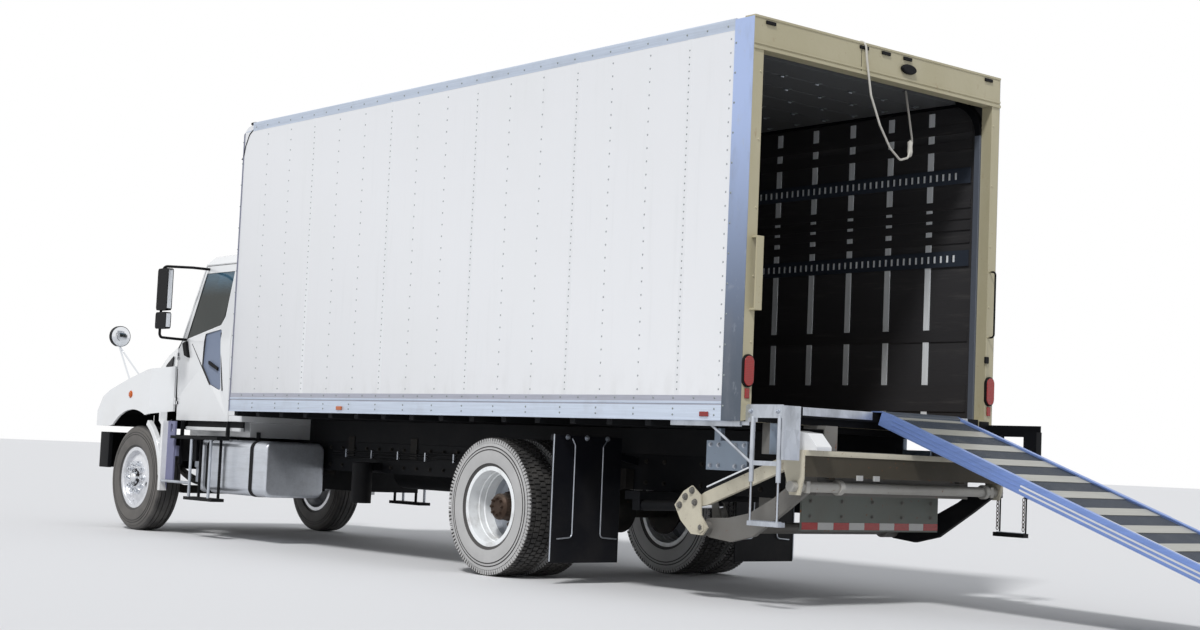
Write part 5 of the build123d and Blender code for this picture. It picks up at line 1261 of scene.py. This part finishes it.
for side, name in names.items():
    dress("front_rim_" + name, (rim_silver, rim_grey, black_plastic), rim_choice(front_axle, side, False))
    dress("rear_rims_" + name, (rim_white, rim_grey, hub_brown), rim_choice(rear_axle, side, True))
    studded("front_nuts", side, "front", front_middle + 0.102, bolt_ring, 10, chrome, 0.046, 0.034)
    studded("hub_bolts", side, "front", cap_face, 0.066, 8, chrome, 0.018, 0.010)
    profile = [(0, 0.0), (0, 0.052), (side * 0.018, 0.050), (side * 0.034, 0.036), (side * 0.040, 0.0)]
    cap = turned(profile, Vector((front_axle.x, side * cap_face, axle_height)), steps=40)
    made_of("hub_cap_" + name, [cap], chrome, "wheel_front_" + name, 0, 60)
    studded("rear_nuts", side, "rear", twin_middles[0] - 0.1535, bolt_ring, 10, hub_brown, 0.042, 0.040)
    studded("shaft_bolts", side, "rear", twin_middles[0] + 0.0495, 0.062, 8, hub_brown, 0.022, 0.014)

# %% [markdown]
# The tail lift
#
# It is stowed under the rear. Its nodes hold several parts each, so their finish goes by place:
# cream knuckle plates and links, blue-grey guide plates, a white box and a rusty grey-green flap.
# On the right the knuckle plates, the arm and the link are black as painted shade, and the beam's
# rear faces are dark brown, partly painted shade.

# %% Tail lift
guide_grey = dark_finish("guide_grey", (0.30, 0.36, 0.44), 0.36, 0.3, 0.3, rust_brown)
flap_green = dark_finish("flap_green", (0.15, 0.165, 0.15), 0.5, 0.5, 0.1, rust_brown)
# Dark brown for the beam's rear faces, partly painted shade.
beam_brown_and_shade = dark_finish("beam_brown_and_shade", (0.060, 0.052, 0.038), 0.5, 0.35, 0.1, rust_brown)
tube_grey = dark_finish("tube_grey", (0.42, 0.41, 0.38), 0.46, 0.35, 0.2, rust_brown)
tape_red = lens_finish("tape_red", (0.50, 0.012, 0.012), 160)
tape_white = lens_finish("tape_white", (0.66, 0.66, 0.64), 160)


def lift_frame_choice(centre, normal):
    out = abs(centre.y)
    if 1.016 < out < 1.04:
        # the right side's plates are black as painted shade, the left ones cream
        return 1 if centre.y > 0 else 3
    if 0.92 < out < 0.97 and centre.z > 0.86 and centre.x < body_rear + 0.7:
        return 2
    return 3 if centre.x > body_rear + 1.3 else 0


def lift_platform_choice(centre, normal):
    x = centre.x - body_rear
    if 0.855 < centre.y < 1.005 and centre.z > 1.034:
        return 3
    if abs(centre.y) > 1.016 or centre.z > 0.998:
        return 1
    if x > -0.012 and centre.z < 0.746:
        return 4
    # the beam's rear faces: dark brown, partly painted shade
    return 2 if x < -0.21 and normal.x < -0.5 else 0


def arm_choice(centre, normal):
    if math.hypot(centre.x - body_rear + 0.25, centre.z - 0.80) < 0.05:
        return 2
    # the right arm is black as painted shade
    return 1 if centre.y < -0.92 else 0


dress("liftgate_frame", (lift_grey, lift_cream, guide_grey, black_paint), lift_frame_choice, 0.0015)
dress("liftgate_arms", (lift_grey, black_paint, tube_grey), arm_choice, 0.002)
# The right link is black as painted shade, the left one cream.
dress("liftgate_links", (lift_cream, black_paint), lambda centre, normal: 1 if centre.y < 0 else 0)
dress("liftgate_platform", (lift_grey, lift_cream, beam_brown_and_shade, cab_white, flap_green), lift_platform_choice)
dress("liftgate_cylinders", (black_paint,), bevel=0.002)
dress("liftgate_rods", (chrome,), bevel=0.001)

tapes = []
for number in range(9):
    low = 0.70 - (number + 1) * 0.1555
    tapes.append(cuboid(at(-0.0092, low + 0.0006, 0.512), at(-0.0078, low + 0.1549, 0.560)))
made_of("flap_tape_red", tapes[::2], tape_red, "liftgate_platform")
made_of("flap_tape_white", tapes[1::2], tape_white, "liftgate_platform")
flap_bolts = [(at(-0.008, y, z), backward, upward)
              for y in (-0.62, -0.31, 0.0, 0.31, 0.62) for z in (0.60, 0.70)]
repeated("flap_bolts", nuts, flap_bolts, lift_grey, "liftgate_platform", Across=0.020, Height=0.009)
marks = [cuboid(at(-0.335, y - 0.028, 0.85), at(-0.321, y + 0.028, 0.885)) for y in (0.502, 0.337)]
made_of("beam_reflectors", marks, tape_white, "liftgate_platform", 0.002)
knuckle_spots = ((0.60, 0.49), (0.67, 0.655), (0.82, 0.63), (0.70, 0.735), (0.765, 0.69))
knuckle_bolts = outwards([(x, 1.035, z) for x, z in knuckle_spots])
repeated("knuckle_bolts", nuts, knuckle_bolts, lift_grey, "root", Across=0.034, Height=0.016)
covers = outwards([(0.60, 1.035, 0.49)])
repeated("pivot_covers", nuts, covers, lift_cream, "root", Across=0.062, Height=0.010)
guide_bolts = outwards([(x, 0.965, z) for x in (0.29, 0.37, 0.53, 0.61) for z in (0.91, 1.05)])
repeated("guide_bolts", nuts, guide_bolts, galvanised, "root", Across=0.022, Height=0.011)
collar = [(-0.02, 0.034), (-0.02, 0.050), (0.02, 0.050), (0.02, 0.034)]
collars = [turned(collar, at(-0.25, y, 0.80), steps=40) for y in (-0.90, 0.62)]
made_of("tube_collars", collars, tube_grey, "liftgate_arms", 0.002)

# Hose cover and rod along the left link
link_foot = at(0.67, 0.9975, 0.655)
link_way = Vector((-0.85, 0, 0.31)).normalized()
link_up = Vector((0.31, 0, 0.85)).normalized()
cover = [link_foot + link_way * along + link_up * over
         for along, over in ((0.09, 0.044), (0.56, 0.044), (0.56, 0.064), (0.09, 0.064))]
cover = prism([(spot.x, spot.z) for spot in cover], "y", 0.985, 1.010)
made_of("link_cover", [cover], black_paint, "liftgate_links", 0.003)
rod_line = [link_foot + link_way * along + link_up * 0.075 for along in (0.11, 0.53)]
piped("link_rod", [rod_line], chrome, "liftgate_links", 0.009, 0.0)

# %% [markdown]
# Ladders and mud flaps
#
# A step hangs at each rear corner, with a toothed tread and a short chain on each post. The flaps
# hang from bolts, and wires keep them from swinging.

# %% Ladders and mud flaps
# The left ladder is galvanised; the right one is black as painted shade.
dress("ladders", (galvanised, black_paint), lambda centre, normal: 0 if centre.y > 0 else 1, 0.002)
# columns: forward, side, height
plate_spots = ((-0.285, 1, 1.272), (-0.045, 1, 1.272), (-0.43, -1, 1.245), (-0.06, -1, 1.245))
plate_bolts = [(at(x, side * 1.25, z), outward[side], upward) for x, side, z in plate_spots]
repeated("ladder_bolts", nuts, plate_bolts, galvanised, "root", Across=0.024, Height=0.012)
tooth_count = 14
teeth = []
chain = []
# columns: first post, second post, side, tread height
for first, second, side, z in ((-0.305, -0.065, 1, 0.57), (-0.366, -0.138, -1, 0.515)):
    for number in range(tooth_count):
        x = first + (second - first) * (number + 0.5) / tooth_count
        teeth.append((at(x, side * 1.22, z + 0.002), upward, forward))
    for x in (first, second):
        for number in range(9):
            twist = forward if number % 2 else outward[1]
            spot = at(x + 0.013, side * 1.231, z + 0.03 + number * 0.026)
            chain.append((spot, twist, downward.cross(twist)))
repeated("ladder_tread_teeth", blocks, teeth, galvanised, "root", Size=(0.006, 0.052, 0.005))
repeated("ladder_chains", links, chain, hub_brown, "root", Radius=0.0095, Wire=0.0032)

dress("mud_flaps", (flap_rubber,), bevel=0.004)
flap_low, flap_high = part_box("mud_flaps")
flap_x = flap_low.x - body_rear
flap_nuts = [(at(flap_x, side * y, 1.066), backward, upward)
             for side in names for y in (1.139, 0.957, 0.756)]
repeated("mud_flap_bolts", nuts, flap_nuts, galvanised, "root", Across=0.028, Height=0.014)
edge_y = flap_high.y - 0.004
# Each wire's points, as how far behind the flap, how far out, and the height
wires = (((0.008, 1.10, 1.06), (0.009, 1.07, 1.01), (0.010, 1.07, 0.34), (0.010, 1.21, 0.330)),
         ((0.008, 0.756, 1.06), (0.009, 0.80, 1.01), (0.010, 0.80, 0.34), (0.010, 0.64, 0.330)),
         ((0.004, edge_y, flap_low.z + 0.012), (0.004, edge_y, 1.085)))
routes = [[at(flap_x - behind, side * y, z) for behind, y, z in wire] for side in names for wire in wires]
piped("mud_flap_wires", routes, galvanised, "root", 0.005)

# %% [markdown]
# The walk ramp
#
# Its deck is ribbed aluminium, with grip bands across, and dark between them as painted shade. Its
# rails carry ribs along their outer flanks and are blue as painted shade and sky reflection. Chrome
# beads along their inner ledge and chrome ribs low on their flanks are a painted highlight where sun
# falls on the lower ramp.

# %% Walk ramp
hook_height = 1.327
ramp_top = at(-0.12, 0, hook_height)
ramp_angle = math.asin(hook_height / 3.96)
down_ramp = Vector((-math.cos(ramp_angle), 0, -math.sin(ramp_angle)))
off_ramp = Vector((-math.sin(ramp_angle), 0, math.cos(ramp_angle)))
ramp_length = 3.80
ramp_middle = -0.345
ramp_half = 0.405
ramp_cream = aluminium_finish("ramp_cream", (0.38, 0.38, 0.345), 0.40, (3, 0.2, 3), 0.3, 0.3)
# Painted shade and sky reflection: blue for the rails.
ramp_shade_and_sky = aluminium_finish("ramp_shade_and_sky", (0.22, 0.33, 0.68), 0.36, (0.2, 3, 3), 0.35, 0.1)
# Painted shade: the dark of the deck between its grip bands.
ramp_deck_shade = aluminium_finish("ramp_deck_shade", (0.070, 0.085, 0.110), 0.45, (0.2, 3, 3), 0.3, 0.3)


def ramp_choice(centre, normal):
    # rails get the blue of painted shade and sky reflection, the deck the dark of painted shade
    return 0 if abs(centre.y - ramp_middle) > ramp_half - 0.042 else 1


def on_ramp(along, y, over):
    """A point on the ramp: down along it, across it, and off its top line."""
    return ramp_top + down_ramp * along + off_ramp * over + Vector((0, y, 0))


def ribs_on_flanks(name, finish, start, overs, size):
    """Ribs along both flanks, from a start down to just over the ground."""
    ribs = []
    for edge in (-1, 1):
        for over in overs:
            last = (hook_height + over * math.cos(ramp_angle) - 0.012) / math.sin(ramp_angle)
            middle = on_ramp((start + last) / 2, ramp_middle + edge * (ramp_half + 0.0005), over)
            ribs.append((middle, down_ramp, off_ramp, (1, 1, last - start)))
    repeated(name, blocks, ribs, finish, "ramp", Size=size)


dress("ramp", (ramp_shade_and_sky, ramp_deck_shade), ramp_choice)
first_rib = ramp_middle - ramp_half + 0.045
rib_step = (2 * ramp_half - 0.09) / 25
ribs = [(on_ramp(ramp_length / 2, first_rib + number * rib_step, -0.0185), down_ramp, off_ramp)
        for number in range(26)]
repeated("ramp_ribs", blocks, ribs, ramp_deck_shade, "ramp", Size=(0.003, 0.005, ramp_length - 0.12))
bands = [(on_ramp(0.055 + number * 0.28, ramp_middle, -0.0165), off_ramp, down_ramp) for number in range(13)]
repeated("ramp_bands", blocks, bands, ramp_cream, "ramp", Size=(0.115, 2 * ramp_half - 0.088, 0.005))
# Painted highlight: chrome beads on the sunlit lower part of the ramp.
beads = [(on_ramp(ramp_length / 2 + 0.9, ramp_middle + edge * (ramp_half - 0.019), 0.001),
          down_ramp, off_ramp) for edge in (-1, 1)]
repeated("ramp_highlight_beads", blocks, beads, chrome, "ramp", Size=(0.004, 0.010, ramp_length - 1.9))
ribs_on_flanks("ramp_flank_ribs", ramp_shade_and_sky, 0.11, (-0.030, -0.058, -0.086), (0.006, 0.004, 1.0))
# Painted highlight: chrome ribs on the sunlit lower flanks.
ribs_on_flanks("ramp_highlight_ribs", chrome, 1.25, (-0.044, -0.072), (0.012, 0.003, 1.0))

# %% [markdown]
# Small things of the front end
#
# The grille's bars, the rings and bulbs of the headlamps, a plain front plate, and the glass of the
# door mirrors.

# %% Front end
low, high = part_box("grille")
bars = [(Vector((high.x + 0.003, (low.y + high.y) / 2, low.z + 0.03 + number * (high.z - low.z - 0.06) / 8)),
         forward, upward) for number in range(9)]
repeated("grille_bars", blocks, bars, chrome, "hood", Size=(0.006, high.y - low.y - 0.06, 0.006))
low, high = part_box("headlamps")
spots = [touch("headlamps", Vector((high.x + 1, side * out, (low.z + high.z) / 2)), backward)
         for side in names for out in (0.88, 1.08)]
# columns: piece, steps round, profile
for name, steps, profile in (
        ("headlamp_rings", 36, [(-0.004, 0.036), (-0.004, 0.044), (0.003, 0.043), (0.003, 0.038)]),
        ("headlamp_bulbs", 24, [(-0.003, 0.0), (-0.003, 0.020), (0.004, 0.014), (0.006, 0.0)])):
    made_of(name, [turned(profile, spot, "x", steps) for spot in spots], chrome, "hood", 0, 60)
bumper_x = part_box("front_bumper")[1].x
plate = cuboid((bumper_x - 0.001, -0.1525, 0.72), (bumper_x + 0.003, 0.1525, 0.872))
made_of("front_plate", [plate], cab_white, "root", 0.001)
plate_bolts = [(Vector((bumper_x + 0.003, y, 0.855)), forward, upward) for y in (-0.09, 0.09)]
repeated("front_plate_bolts", nuts, plate_bolts, galvanised, "root", Across=0.012, Height=0.005)
for side, name in names.items():
    plates = []
    for low, high in ((2.175, 2.548), (1.995, 2.126)):
        x = touch("mirror_" + name, at(6.9, side * 1.43, (low + high) / 2), forward).x - body_rear
        plates.append(side_box(side, (x - 0.002, x + 0.002), (1.408, 1.452), (low, high)))
    made_of("mirror_glass_" + name, plates, chrome, "door_" + name, 0.001)

# %% [markdown]
# Small things under the body
#
# Rows of bolts run along the frame rails. Brake pipes and cables are clipped to the rails' outer
# face, and three brackets on each side hold the body down.

# %% Underbody
rail_low, rail_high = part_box("chassis_rails")
rail_out = rail_high.y
stations = [x for x in (0.25 + number * 0.20 for number in range(44)) if not 1.35 < x < 1.62]
heights = (rail_low.z + 0.055, rail_high.z - 0.055)
rail_bolts = outwards([(x, rail_out, z) for x in stations for z in heights])
repeated("rail_bolts", nuts, rail_bolts, cast_steel, "root", Across=0.026, Height=0.013)
brackets = [side_box(side, (x - 0.05, x + 0.05), (rail_out, rail_out + 0.010), (0.84, 1.02))
            for side in names for x in (3.9, 4.9, 5.9)]
made_of("body_brackets", brackets, cast_steel, "root", 0.003)
# Stations along a pipe, and how far it has dropped there
drops = ((3.35, 0), (4.6, 0), (4.75, 0.02), (6.2, 0.02))
# columns: height, how far out from the rail
lines = [routed(side, [(x, rail_out + reach, z - drop) for x, drop in drops])
         for z, reach in ((0.90, 0.012), (0.878, 0.012), (0.846, 0.015)) for side in names]
piped("brake_pipes", lines, black_plastic, "root", 0.0055, 0.05)
clips = outwards([(3.45 + number * 0.42, rail_out + 0.010, 0.862) for number in range(7)])
repeated("pipe_clips", blocks, clips, galvanised, "root", Size=(0.075, 0.016, 0.020))

# %% [markdown]
# Last steps
#
# The size of the dressed truck is printed at the end.

# %% Sizes and the end
low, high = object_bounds()
print("dressed truck", [round(value, 3) for value in high - low])
